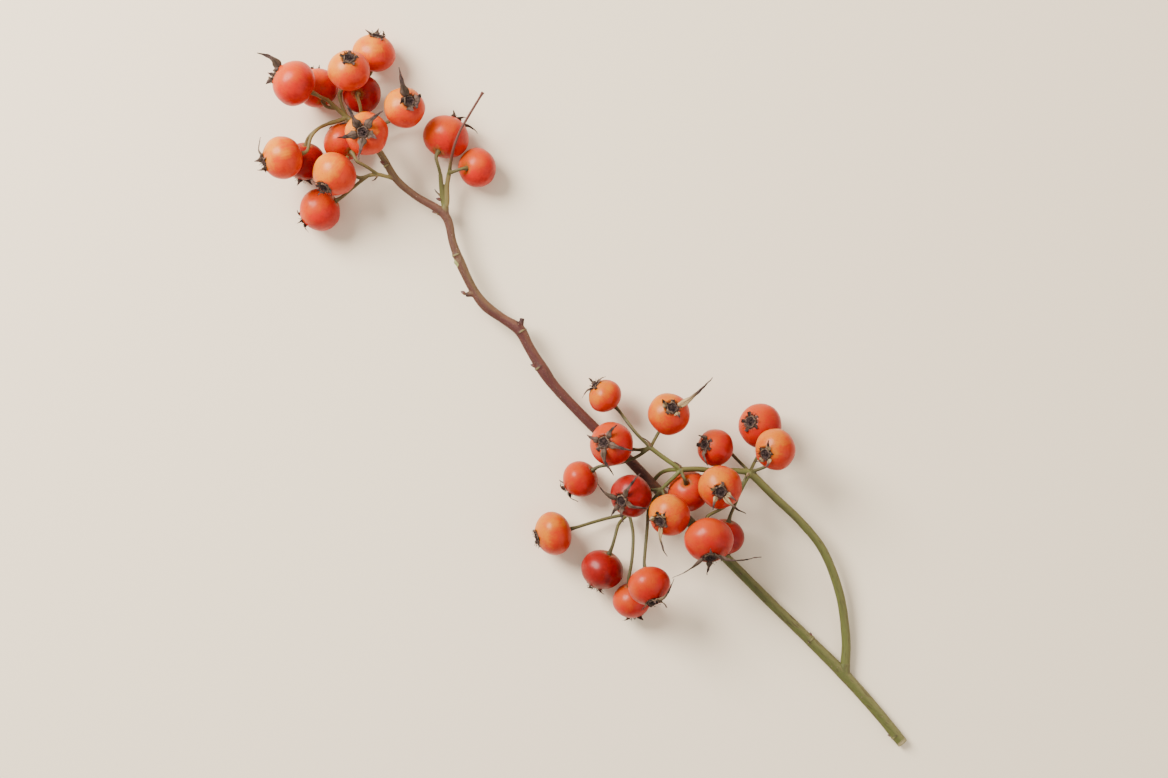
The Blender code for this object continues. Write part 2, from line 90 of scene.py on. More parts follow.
class Term:
    """A node's result, used as a number or a vector in a sum."""

    def __init__(self, nodes, socket):
        self.nodes = nodes
        self.socket = socket

    __add__, __radd__ = sign("ADD"), sign("ADD", swapped=True)
    __sub__, __rsub__ = sign("SUBTRACT"), sign("SUBTRACT", swapped=True)
    __mul__, __rmul__ = sign("MULTIPLY"), sign("MULTIPLY", swapped=True)
    __truediv__ = sign("DIVIDE")

    def bell(self, middle, width):
        """One at the middle, falling to nothing within about two widths of it."""
        off = (self - middle) / width
        return self.nodes.math("EXPONENT", 0.0 - off * off)

    def step(self, start, end):
        """Rises smoothly from 0 where the term is start to 1 where it is end."""
        return self.nodes.add(
            "ShaderNodeMapRange",
            Value=self,
            From_Min=start,
            From_Max=end,
            interpolation_type="SMOOTHSTEP",
        )


print("a term can be added, subtracted, multiplied and divided")


# %% Node trees
class Nodes:
    """A node tree, and short ways to add nodes to it."""

    def __init__(self, tree):
        self.tree = tree

    def put(self, value, socket):
        """Sets a socket to a value, or joins another node's result to it."""
        if isinstance(value, Term):
            self.tree.links.new(value.socket, socket)
        else:
            socket.default_value = value

    def add(self, kind, result=0, **given):
        """Adds a node and gives back one of its results. A name with a capital is an input's name."""
        node = self.tree.nodes.new(kind)
        inputs = {name: given.pop(name) for name in list(given) if name[0].isupper()}
        for name, value in given.items():
            setattr(node, name, value)
        for name, value in inputs.items():
            label = name.replace("_", " ")
            self.put(value, next(s for s in node.inputs if s.name == label and s.enabled))
        shown = [s for s in node.outputs if s.enabled]
        return Term(self, shown[result] if isinstance(result, int) else node.outputs[result])

    def each(self, kind, values, **settings):
        """Adds a node whose inputs are filled in order, and gives back all its results."""
        node = self.add(kind, **settings).socket.node
        for value, socket in zip(values, node.inputs):
            self.put(value, socket)
        return [Term(self, socket) for socket in node.outputs]

    def math(self, operation, *values):
        return self.each("ShaderNodeMath", values, operation=operation)[0]

    def vector(self, operation, *values):
        """Vector math: a vector, or the number that a dot product gives."""
        results = self.each("ShaderNodeVectorMath", values, operation=operation)
        return results[operation == "DOT_PRODUCT"]

    def split(self, vector):
        return self.each("ShaderNodeSeparateXYZ", [vector])

    def joined(self, x, y, z):
        return self.add("ShaderNodeCombineXYZ", X=x, Y=y, Z=z)

    def noise(self, vector, scale, detail=2.0, result="Fac"):
        return self.add("ShaderNodeTexNoise", result, Vector=vector, Scale=scale, Detail=detail)


print("a node is added in one call, with its inputs by their names")

# %% [markdown]
# ## Growing a piece from a rule
#
# A rule is a Geometry Nodes tree with a named input for each size. To use it, a passing object gets
# the tree as a modifier, the inputs are set by their identifiers, and the evaluated result is copied
# into a plain mesh. The passing object goes away again, so the finished piece carries no modifier and
# sits at the origin with its place in its mesh. Every tree ends the same way: instances made real, and
# the material set. A finished piece is attached to its body, and the solid that it stands for, if there
# is one, is hidden.

# %% A rule's tree
KINDS = {float: "NodeSocketFloat", int: "NodeSocketInt", tuple: "NodeSocketVector"}


class Rule(Nodes):
    """A tree with an input for each size: rule["Radius"] is what comes in as the radius."""

    def __init__(self, name, sizes):
        super().__init__(bpy.data.node_groups.new(name, "GeometryNodeTree"))
        self.socket("Geometry", "NodeSocketGeometry")
        for label, value in sizes.items():
            self.socket(label, KINDS[type(value)]).default_value = value
        self.socket("Finish", "NodeSocketMaterial")
        self.socket("Geometry", "NodeSocketGeometry", "OUTPUT")
        outputs = self.tree.nodes.new("NodeGroupInput").outputs
        self.given = {socket.name: Term(self, socket) for socket in outputs if socket.name}

    def socket(self, label, kind, side="INPUT"):
        return self.tree.interface.new_socket(label, in_out=side, socket_type=kind)

    def __getitem__(self, label):
        return self.given[label]

    def named(self, name, kind="FLOAT"):
        """A value that is stored on the points."""
        return self.add("GeometryNodeInputNamedAttribute", Name=name, data_type=kind)

    def kept(self, geometry, name, value, kind="FLOAT"):
        """The geometry with a value stored on its points, for the finish to read."""
        return self.add(
            "GeometryNodeStoreNamedAttribute", Geometry=geometry, Name=name, Value=value, data_type=kind
        )

    def place(self):
        return self.add("GeometryNodeInputPosition")

    def moved(self, geometry, **how):
        return self.add("GeometryNodeSetPosition", Geometry=geometry, **how)

    def times(self, vector, number):
        return self.vector("MULTIPLY", vector, self.joined(number, number, number))

    def ball(self, sides, rings):
        return self.add("GeometryNodeMeshUVSphere", Segments=sides, Rings=rings, Radius=1.0)

    def ring(self, sides):
        return self.add("GeometryNodeCurvePrimitiveCircle", Resolution=sides, Radius=1.0)

    def swept(self, line, section, width):
        """A section drawn along a line, closed at both ends."""
        return self.add(
            "GeometryNodeCurveToMesh", Curve=line, Profile_Curve=section, Scale=width, Fill_Caps=True
        )

    def chance(self, low, high, seed):
        """A number or a vector between two others, drawn anew for each copy."""
        kind = "FLOAT_VECTOR" if isinstance(low, tuple) else "FLOAT"
        return self.add("FunctionNodeRandomValue", Min=low, Max=high, Seed=seed, data_type=kind)

    def copies(self, points, one, turn, size):
        return self.add(
            "GeometryNodeInstanceOnPoints", Points=points, Instance=one, Rotation=turn, Scale=size
        )

    def set_down(self, geometry):
        """The geometry turned and moved to where the sizes say."""
        turned = self.add("FunctionNodeEulerToRotation", Euler=self["Turn"])
        return self.add(
            "GeometryNodeTransform", Geometry=geometry, Translation=self["Place"], Rotation=turned
        )

    def end(self, geometry):
        real = self.add("GeometryNodeRealizeInstances", Geometry=geometry)
        smooth = self.add("GeometryNodeSetShadeSmooth", Geometry=real)
        painted = self.add("GeometryNodeSetMaterial", Geometry=smooth, Material=self["Finish"])
        self.put(painted, self.tree.nodes.new("NodeGroupOutput").inputs[0])
        return self.tree


print("a rule has one input for each size")


# %% Plain meshes from rules
def added(thing):
    bpy.context.scene.collection.objects.link(thing)
    return thing


def plain_mesh(holder):
    """What an object's modifiers make, as a mesh of its own."""
    depsgraph = bpy.context.evaluated_depsgraph_get()
    seen = holder.evaluated_get(depsgraph)
    mesh = bpy.data.meshes.new_from_object(seen, preserve_all_data_layers=True, depsgraph=depsgraph)
    bpy.data.objects.remove(holder)
    return mesh


def placed(name, mesh):
    mesh.name = name
    return added(bpy.data.objects.new(name, mesh))


def grow(name, rule, sizes, finish, guide=None):
    """Runs a rule with these sizes, on a guide mesh where it needs one."""
    holder = bpy.data.objects.new(f"{name}_rule", guide or bpy.data.meshes.new(f"{name}_rule"))
    modifier = holder.modifiers.new("rule", "NODES")
    modifier.node_group = rule
    for item in rule.interface.items_tree:
        if item.in_out == "INPUT" and item.name in sizes:
            modifier[item.identifier] = sizes[item.name]
        if item.name == "Finish":
            modifier[item.identifier] = finish
    return placed(name, plain_mesh(added(holder)))


print("rules grow plain meshes at the origin")


# %% Finished pieces
def belongs(piece, node=None):
    """Attaches a piece to the root body, and hides the solid that it stands for, if there is one."""
    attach(piece, "root")
    if node:
        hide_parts(node)
    return piece


def tell(label, pieces):
    faces = [len(piece.data.polygons) for piece in pieces]
    print(label, len(faces), "made, with", min(faces), "to", max(faces), "faces")


# %% [markdown]
# ## Where the hips are
#
# The solid of a hip is a ball cut flat at both ends. Its place could be typed in again, but then two
# files would have to agree. Instead it is measured: the largest flat facet is where the flower sat, so
# its direction is the hip's axis, and its radius and the distance to the far end give the ball's size.

# %% Measuring a solid
CALYX_CUT = math.radians(23.0)  # the flats' edges, seen from the middle of the ball
STALK_CUT = math.radians(12.0)
WELD = 0.001 * MM
IN_ONE_PLANE = 0.9999  # how alike two facets' directions are in the same flat


def coordinates(mesh):
    places = np.zeros(len(mesh.vertices) * 3)
    mesh.vertices.foreach_get("co", places)
    return places.reshape(-1, 3)


def solid(node):
    """A solid's corner points, each once, and the three corners of each of its triangles."""
    mesh = frame["nodes"][node].data
    points = coordinates(mesh)
    corners = np.zeros(len(mesh.loops), int)
    mesh.loops.foreach_get("vertex_index", corners)
    rounded = np.round(points / WELD)
    _, first, index = np.unique(rounded, axis=0, return_index=True, return_inverse=True)
    return points[first], index.reshape(-1)[corners].reshape(-1, 3)


class Hip:
    """A hip's place, measured on its solid."""

    def __init__(self, node):
        points, triangles = solid(node)
        a, b, c = (points[triangles[:, corner]] for corner in range(3))
        cross = np.cross(b - a, c - a)
        areas = np.linalg.norm(cross, axis=1)
        normals = cross / areas[:, None]
        alike = normals @ normals.T > IN_ONE_PLANE
        flat = alike[np.argmax(alike @ areas)]
        rim = points[np.unique(triangles[flat])]
        rim_radius = np.linalg.norm(rim - rim.mean(0), axis=1).max()
        self.name = node
        self.axis = Vector(normals[flat].mean(0)).normalized()
        length = np.ptp(points @ np.array(self.axis))
        self.radius = rim_radius / math.sin(CALYX_CUT)
        self.half_length = length / (math.cos(CALYX_CUT) + math.cos(STALK_CUT))
        self.calyx_end = Vector(rim.mean(0))
        self.middle = self.calyx_end - self.axis * self.half_length * math.cos(CALYX_CUT)
        self.turn = Vector((0.0, 0.0, 1.0)).rotation_difference(self.axis)


HIPS = {node: Hip(node) for node in sorted(frame["nodes"]) if "hip" in node}
SLOTS = {row["node"]: row["material_slot"] for row in frame["record"]["subparts"]}
widths = [2 * hip.radius / MM for hip in HIPS.values()]
print(len(HIPS), "hips,", round(min(widths), 1), "to", round(max(widths), 1), "mm wide")

# %% [markdown]
# ## The shape of a hip
#
# A hip is the swollen top of the flower's stalk. It is a little wider than it is long, never quite
# round, and often narrower towards the stalk. Where the flower sat, the skin turns in to a shallow cup
# with a low lip; where the stalk enters there is a dimple. All hips follow that one rule, so one tree
# makes them all from a unit ball, with a seed that gives each its own dents.
#
# The tree also stores what the paint will need: how near a point is to either end, a direction that
# stays with the skin, how far that side faces the window lamp, for a painted lit side, and how much the
# whole hip is darkened.

# %% The hip rule
HIP_SIDES = 64
HIP_RINGS = 56
DENTS = 0.075  # how far the skin swells and sinks, of the radius
CUP_DEPTH = 0.13
CUP_REACH = 0.30
LIP_HEIGHT = 0.030
LIP_WIDTH = 0.075
DIMPLE_DEPTH = 0.09
DIMPLE_REACH = 0.20
HIP_SIZES = {
    "Radius": 0.008,
    "Half Length": 0.007,
    "Taper": 0.0,
    "Lobes": 0.01,
    "Shade": 0.0,
    "Seed": 0.0,
    "Sun": (0.0, 0.0, 1.0),
    "Place": (0.0, 0.0, 0.0),
    "Turn": (0.0, 0.0, 0.0),
}


def hip_rule():
    rule = Rule("hip_rule", HIP_SIZES)
    way, seed = rule.place(), rule["Seed"]
    x, y, z = rule.split(way)
    out = rule.math("SQRT", x * x + y * y)
    calyx_side = rule.math("GREATER_THAN", z, 0.0)
    skin = rule.vector("ADD", way, rule.joined(seed, seed * 1.7, seed * 0.6))
    dents = (rule.noise(skin, 1.15, 1.0) - 0.5) * DENTS
    lobes = rule.math("COSINE", rule.math("ARCTAN2", y, x) * 5.0 + seed)
    girth = (1.0 + lobes * rule["Lobes"] * out + dents) * (1.0 - z * rule["Taper"]) * rule["Radius"]
    cup = (out * out).bell(0.0, CUP_REACH * CUP_REACH) * calyx_side * CUP_DEPTH
    lip = out.bell(CUP_REACH * 1.25, LIP_WIDTH) * calyx_side * LIP_HEIGHT
    dimple = out.bell(0.0, DIMPLE_REACH) * (1.0 - calyx_side) * DIMPLE_DEPTH
    height = z * rule["Half Length"] * (1.0 + dents * 0.6) + (lip + dimple - cup) * rule["Radius"]
    shape = rule.kept(rule.ball(HIP_SIDES, HIP_RINGS), "end", z)
    shape = rule.kept(shape, "skin", skin, "FLOAT_VECTOR")
    # how far each point faces the window lamp: the pale colour leans to it, as a painted lit side
    shape = rule.kept(shape, "sun", rule.vector("DOT_PRODUCT", way, rule["Sun"]))
    shape = rule.kept(shape, "shade", rule["Shade"])
    shape = rule.moved(shape, Position=rule.joined(x * girth, y * girth, height))
    return rule.end(rule.set_down(shape))


HIP_RULE = hip_rule()
print("hip rule:", len(HIP_RULE.nodes), "nodes,", HIP_SIDES * HIP_RINGS, "faces a hip")

# %% [markdown]
# ## Paint in layers
#
# A finish is built up as a painter would do it: a ground colour first, then streaks, freckles and
# stains over it. Each layer has a share, a term between 0 and 1 that says how much of it shows.


# %% Paint that every finish shares
class Paint(Nodes):
    """A material's nodes, and short ways to mix its colours."""

    def __init__(self, name):
        self.material = bpy.data.materials.new(name)
        self.material.use_nodes = True
        super().__init__(self.material.node_tree)

    def stored(self, name, result="Fac"):
        """A value that was stored on the points."""
        return self.add("ShaderNodeAttribute", result, attribute_name=name)

    def flecks(self, scale, detail):
        """Noise that stays with the object."""
        return self.noise(self.add("ShaderNodeTexCoord", "Object"), scale, detail)

    def mixed(self, share, first, second):
        """Two colours mixed: the first where the share is 0, the second where it is 1."""
        first, second = ((*c, 1.0) if isinstance(c, tuple) else c for c in (first, second))
        return self.add(
            "ShaderNodeMix", Factor=share, A=first, B=second, data_type="RGBA", clamp_factor=True
        )

    def layered(self, colour, *layers):
        """A colour with others laid over it, each with its share."""
        for share, other in layers:
            colour = self.mixed(share, colour, other)
        return colour

    def ramp(self, value, stops):
        """A colour that runs through stops, each a place from 0 to 1 and a colour."""
        colour = self.each("ShaderNodeValToRGB", [value])[0]
        elements = colour.socket.node.color_ramp.elements
        while len(elements) < len(stops):
            elements.new(0.5)
        for element, (place, shade) in zip(elements, stops):
            element.position = place
            element.color = (*shade, 1.0)
        return colour

    def bump(self, height, depth, strength=1.0):
        return self.add("ShaderNodeBump", Height=height, Distance=depth * MM, Strength=strength)

    def done(self, **values):
        """The material, with these values on its shader."""
        shader = self.tree.nodes["Principled BSDF"]
        for name, value in values.items():
            self.put(value, shader.inputs[name.replace("_", " ")])
        return self.material


print("finishes can now be painted in layers")

# %% [markdown]
# ## The colour of the skin
#
# Ripe skin is orange-red under a thin coat of wax, so it has broad, soft highlights. On the hips that
# are still turning, a paler, yellower colour is laid mostly on the side that faces the window lamp:
# partly the skin's own yellow, partly a painted lit side. The colour breaks up in soft clouds and in
# faint streaks that run from end to end. The clouds come from noise on the stored skin direction, which
# stays with the hip however it is turned. Near the old flower the skin is olive brown, and round the
# stalk it is slightly green.

# %% The skin finish
OLIVE = (0.085, 0.036, 0.012)
STALK_TINT = (0.30, 0.11, 0.014)
SPECK = (0.66, 0.20, 0.045)
LOWER_DARKEST = 0.45  # of the deep colour, for the darkened skins of the lower cluster


def hip_skin(name, ripe, deep, pale, turning):
    """Skin with its ripe, deep and pale colours.

    Turning is how much of the pale colour shows. It is laid mostly on the side towards the window lamp:
    partly the skin's own yellow, partly a painted lit side.
    """
    paint = Paint(name)
    skin, end = paint.stored("skin", "Vector"), paint.stored("end")
    clouds = paint.noise(skin, 1.5, 3.0)
    mottle = paint.noise(skin, 6.5, 5.0)
    streaks = paint.noise(paint.vector("MULTIPLY", skin, (11.0, 11.0, 1.1)), 1.0, 3.0)
    pores = paint.noise(skin, 34.0, 2.0)
    # the pale share: random clouds and streaks, leaning to the side that faces the window lamp as a
    # painted lit side
    sunny = paint.stored("sun") * 0.30 + clouds * 0.46 + mottle * 0.14 + streaks * 0.20
    spots = paint.add("ShaderNodeTexVoronoi", "Distance", Vector=skin, Scale=11.0)
    colour = paint.layered(
        paint.mixed((clouds * 0.62 + mottle * 0.38).step(0.40, 0.66), ripe, deep),
        # pale yellow, partly the skin's own colour and partly a painted lit side
        (sunny.step(0.43, 0.72) * turning, pale),
        (streaks.step(0.54, 0.74) * 0.32, deep),
        (pores.step(0.60, 0.72) * mottle.step(0.44, 0.58) * 0.55, deep),
        (spots.step(0.13, 0.06) * clouds.step(0.42, 0.60) * 0.5, SPECK),
        ((end + streaks * 0.05).step(0.915, 0.975) * 0.85, OLIVE),
        ((streaks * 0.3 - end).step(1.085, 1.135) * 0.7, STALK_TINT),
        # the lower cluster's skins, darkened towards the deep colour
        (paint.stored("shade"), tuple(value * LOWER_DARKEST for value in deep)),
    )
    return paint.done(
        Base_Color=colour,
        Roughness=0.26 + mottle * 0.18,
        Specular_IOR_Level=0.17,
        Coat_Weight=0.06,
        Coat_Roughness=0.20,
        Subsurface_Weight=0.10,
        Subsurface_Radius=(1.0, 0.22, 0.08),
        Subsurface_Scale=1.4 * MM,
        Normal=paint.bump(streaks * 0.6 + pores * 0.10 + mottle * 0.35, 0.12, 0.55),
    )


SKIN_COLOURS = {  # ripe, deep and pale, and how much is still turning, where the pale is partly a painted lit side
    "red": ((0.53, 0.011, 0.003), (0.35, 0.004, 0.003), (0.66, 0.088, 0.003), 0.75),
    "orange": ((0.60, 0.032, 0.001), (0.46, 0.009, 0.001), (0.70, 0.205, 0.001), 1.0),
    "crimson": ((0.33, 0.004, 0.004), (0.17, 0.001, 0.003), (0.48, 0.018, 0.004), 0.35),
}
SKINS = {f"{name}_hip": hip_skin(f"{name}_skin", *row) for name, row in SKIN_COLOURS.items()}
print("skins:", ", ".join(material.name for material in SKINS.values()))

# %% [markdown]
# ## Hips in their places
#
# Every hip is grown in its own place, facing its own way, with sizes that differ a little from its
# neighbours'. The skins of the lower cluster are darkened. The lowest hips rest on the table: the new
# mesh is rounder than the solid, so a hip that would dip below it is lifted by what it lacks.

# %% Growing the hips
# towards the window lamp: the hips' pale colour leans to this side, as a painted lit side
WINDOW_WAY = Vector((-0.55, 0.60, 0.58)).normalized()
HIP_FIT = 0.992  # of the solid's ball, whose corners stand on the real surface
LOWER_SHADE = 0.30
draw = np.random.default_rng(23)


def drawn(low, high):
    return float(draw.uniform(low, high))


def grow_hip(hip):
    sizes = {
        "Radius": hip.radius * HIP_FIT,
        "Half Length": hip.half_length * HIP_FIT,
        "Taper": drawn(-0.01, 0.055),
        "Lobes": drawn(0.004, 0.016),
        "Seed": drawn(0.0, 40.0),
        "Shade": LOWER_SHADE if hip.name.startswith("lower") else 0.0,
        "Sun": tuple(hip.turn.inverted() @ WINDOW_WAY),
        "Place": tuple(hip.middle),
        "Turn": tuple(hip.turn.to_euler()),
    }
    skin = grow(f"{hip.name}_skin", HIP_RULE, sizes, SKINS[SLOTS[hip.name]])
    hip.lift = Vector((0.0, 0.0, max(0.0, -float(coordinates(skin.data)[:, 2].min()))))
    skin.data.transform(Matrix.Translation(hip.lift))
    return belongs(skin, hip.name)


tell("hips:", [grow_hip(hip) for hip in HIPS.values()])
print("the most that one was lifted:", round(max(hip.lift.z for hip in HIPS.values()) / MM, 3), "mm")

# %% [markdown]
# ## What is left of the flower
#
# At the free end of each hip sits a small five-cornered pad: the rim that carried the petals. In its
# middle stands the bundle of dried styles, and round it the stamens, shrivelled to dark curled threads.
#
# The pad is a flattened ball with a rule for its rim. The styles and stamens repeat one low thread of
# two dozen faces. They are laid out as seeds are in a sunflower, each turned by the golden angle from
# the one before, which fills a disc evenly with no grid showing.

# %% The threads
GOLDEN_ANGLE = math.pi * (3.0 - math.sqrt(5.0))
THREAD_SIDES = 4
THREAD_STEPS = 5
THREAD_RING = 0.35  # the threads are as dark as this part of the pad
CURL = {  # one thread, a unit long, that leans over towards its tip
    "Start": (0.0, 0.0, 0.0),
    "Start_Handle": (0.05, 0.0, 0.45),
    "End_Handle": (0.30, 0.06, 0.85),
    "End": (0.62, 0.16, 0.92),
}


def threads(rule, count, length, near, far, lean, seed):
    """Curled threads on a sunflower layout between two shares of the pad's radius."""
    number = rule.add("GeometryNodeInputIndex")
    share = rule.math("SQRT", (number + 0.5) / count)
    angle = number * GOLDEN_ANGLE
    reach = (near + share * (far - near)) * rule["Radius"]
    x, y = rule.math("COSINE", angle) * reach, rule.math("SINE", angle) * reach
    foot = rule.joined(x, y, rule["Thickness"] * 0.4)
    points = rule.add("GeometryNodePoints", Count=count, Position=foot)
    rod = rule.add("GeometryNodeCurvePrimitiveBezierSegment", Resolution=THREAD_STEPS, **CURL)
    thin = rule["Thread"] / length * (1.25 - rule.add("GeometryNodeSplineParameter") * 0.6)
    wild = rule.chance((-0.5, -0.55, -0.9), (0.5, 0.55, 0.9), rule["Seed"] + seed)
    facing = rule.vector("ADD", rule.joined(0.0, lean, angle), wild)
    size = rule.chance(0.55, 1.2, rule["Seed"] + seed + 1) * length
    copies = rule.copies(points, rule.swept(rod, rule.ring(THREAD_SIDES), thin), facing, size)
    return rule.kept(rule.add("GeometryNodeRealizeInstances", Geometry=copies), "ring", THREAD_RING)


print("a thread has", THREAD_SIDES * THREAD_STEPS + 2, "faces")

# %% The crown rule
PETALS = 5.0
PAD_SIDES = 40
PAD_RINGS = 20
CROWN_SIZES = {
    "Radius": 0.0022,
    "Thickness": 0.0005,
    "Stamens": 34,
    "Styles": 16,
    "Stamen Length": 0.0016,
    "Style Length": 0.0009,
    "Thread": 0.00010,
    "Seed": 0,
    "Place": (0.0, 0.0, 0.0),
    "Turn": (0.0, 0.0, 0.0),
}


def crown_rule():
    rule = Rule("crown_rule", CROWN_SIZES)
    place = rule.place()
    x, y, z = rule.split(place)
    out = rule.math("SQRT", x * x + y * y)
    corners = rule.math("COSINE", rule.math("ARCTAN2", y, x) * PETALS) * 0.07 + 1.0
    rough = rule.noise(place, 4.0) - 0.5
    top = rule.math("GREATER_THAN", z, 0.0)
    rise = out.bell(0.80, 0.17) * 1.3 + out.bell(0.0, 0.30) * 0.9 + rough * 0.7
    height = (top * rise + z * 0.35) * rule["Thickness"]
    girth = corners * rule["Radius"] * (1.0 + rough * 0.12)
    pad = rule.kept(rule.ball(PAD_SIDES, PAD_RINGS), "ring", out)
    pad = rule.moved(pad, Position=rule.joined(x * girth, y * girth, height))
    stamens = threads(
        rule, rule["Stamens"], rule["Stamen Length"], near=0.72, far=0.98, lean=0.35, seed=0
    )
    styles = threads(
        rule, rule["Styles"], rule["Style Length"], near=0.0, far=0.34, lean=-0.25, seed=5
    )
    crown = rule.add("GeometryNodeJoinGeometry")
    for part in (pad, stamens, styles):
        rule.put(part, crown.socket.node.inputs[0])
    return rule.end(rule.set_down(crown))


CROWN_RULE = crown_rule()
print("crown rule:", len(CROWN_RULE.nodes), "nodes")

# %% [markdown]
# ## Dry brown flower parts
#
# The pad is nearly black in its middle and paler, tan and olive, on its outer rim. Nothing on it
# shines. The stored ring value, 0 in the middle and 1 at the edge, drives the colour.

# %% The crown finish
DULL = 0.12  # how much a dry surface shines, where 0.5 is usual


def crown_finish():
    paint = Paint("dried_flower")
    flecks = paint.flecks(1600.0, 3.0)
    dark = paint.mixed(flecks.step(0.35, 0.7), (0.017, 0.010, 0.010), (0.066, 0.040, 0.036))
    pale = paint.mixed(flecks.step(0.3, 0.7), (0.080, 0.050, 0.036), (0.23, 0.15, 0.10))
    colour = paint.mixed(paint.stored("ring").step(0.70, 0.93), dark, pale)
    bump = paint.bump(flecks, 0.10)
    return paint.done(Base_Color=colour, Roughness=0.85, Specular_IOR_Level=DULL, Normal=bump)


CROWN_FINISH = crown_finish()
print("finish:", CROWN_FINISH.name)

# %% [markdown]
# ## Crowns in their cups
#
# Each crown sits a little above the bottom of its hip's cup and faces along the hip's axis. How many
# stamens and styles are left differs from hip to hip. The tips that would reach below the table are
# pressed together above it.

# %% Nothing below the table
PRESSED = 0.5 * MM


def move_points(mesh, places):
    mesh.vertices.foreach_set("co", places.astype(np.float32).ravel())
    mesh.update()


def rest_on_table(mesh):
    """Presses what is lowest together above the table, as dry tips are that touch it."""
    places = coordinates(mesh)
    height = places[:, 2]
    places[:, 2] = np.where(height < PRESSED, PRESSED * np.exp(height / PRESSED - 1.0), height)
    move_points(mesh, places)


print("tips lower than", PRESSED / MM, "mm are pressed together")

# %% Growing the crowns
CROWN_SHARE = 0.285  # of the hip's radius
CROWN_SEAT = 0.72  # how far down in the cup it sits
SEEDS_APART = 10


def grow_crown(hip, number):
    depth = hip.half_length - hip.radius * CUP_DEPTH * CROWN_SEAT
    sizes = {
        "Radius": hip.radius * CROWN_SHARE,
        "Thickness": 0.55 * MM,
        "Stamens": int(draw.integers(26, 42)),
        "Styles": int(draw.integers(12, 20)),
        "Seed": number * SEEDS_APART,
        "Place": tuple(hip.middle + hip.axis * depth * HIP_FIT + hip.lift),
        "Turn": tuple(hip.turn.to_euler()),
    }
    crown = grow(f"{hip.name}_crown", CROWN_RULE, sizes, CROWN_FINISH)
    rest_on_table(crown.data)
    return belongs(crown)


tell("crowns:", [grow_crown(hip, number) for number, hip in enumerate(HIPS.values())])

# %% [markdown]
# ## Where the sepals go
#
# Five green sepals held the bud. On a ripe hip they are dry: some still stand out or hang down, with
# tips as thin as threads, and the rest have broken off at the rim. The solids have the ones that
# stand, as bent blades in four steps. Their middle lines are measured by walking over each solid from
# its plate, one edge at a time: the corners that are n edges away are the blade's n-th ring.
#
# Where fewer than five are left, a short torn stub stands in each empty place.

# %% Measuring the blades
GAP = 0.3 * MM  # between the hip's flat and the plate that the blades stand on
PLATE_THICK = 0.5 * MM
PLATE_REACH = 0.80  # of the flat end's radius
NEAR_ENOUGH = 0.02 * MM


def blade_lines(node, hip):
    """The middle line of each blade on a calyx: a list of points from the plate to the tip."""
    points, triangles = solid(node)
    from_end = points - np.array(hip.calyx_end)
    axis = np.array(hip.axis)
    height = from_end @ axis
    reach = np.linalg.norm(from_end - height[:, None] * axis, axis=1)
    on_plate = np.abs(reach - hip.radius * math.sin(CALYX_CUT) * PLATE_REACH) < NEAR_ENOUGH
    on_plate &= (np.abs(height - GAP) < NEAR_ENOUGH) | (np.abs(height - GAP - PLATE_THICK) < NEAR_ENOUGH)
    next_to = {corner: set() for corner in range(len(points))}
    for triangle in triangles:
        for corner in triangle:
            next_to[corner].update(int(other) for other in triangle)

    def around(corners):
        return {near for corner in corners for near in next_to[corner]}

    def middle(corners):
        return Vector(points[sorted(corners)].mean(0))

    lines = []
    free = {corner for corner in next_to if not on_plate[corner]}
    while free:
        blade, edge = set(), {min(free)}
        while edge:
            blade |= edge
            edge = around(edge) & free - blade
        free -= blade
        ring = {corner for corner in blade if any(on_plate[near] for near in next_to[corner])}
        line = [middle(near for near in around(ring) if on_plate[near])]
        seen = set()
        while ring:
            line.append(middle(ring))
            seen |= ring
            ring = around(ring) & blade - seen
        lines.append(line)
    return lines


CALYXES = {name.replace("calyx", "hip"): name for name in frame["nodes"] if "calyx" in name}
BLADES = {node: blade_lines(CALYXES[node], HIPS[node]) if node in CALYXES else [] for node in HIPS}
print(sum(map(len, BLADES.values())), "blades measured on", len(CALYXES), "calyxes")
print("corners in the lines:", sorted({len(line) for lines in BLADES.values() for line in lines}))

# %% [markdown]
# ## The shape of a sepal
#
# A sepal is a narrow leaf: broad where it sat on the rim, drawn out to a thread, folded along its
# middle, twisted and wavy from drying. The tree sweeps a folded cross-section along each middle line.
# Its width follows the distance along the line, and the line itself is first shaken by noise, more
# towards the tip, so no two dry in the same way. A blunt blade is a torn stub. The flat sides look
# towards a stored place and away from it; for most blades that is the middle of the hip.

# %% The sepal rule
SEPAL_SIZES = {
    "Half Width": 0.0012,
    "Thread": 0.00016,
    "Wave": 0.0016,
    "Twist": 1.2,
    "Fold": 0.42,
    "Seed": 0.0,
    "Pale": 0.0,
}
SECTION_SIDES = 12
BLADE_THICK = 0.14  # of the half width


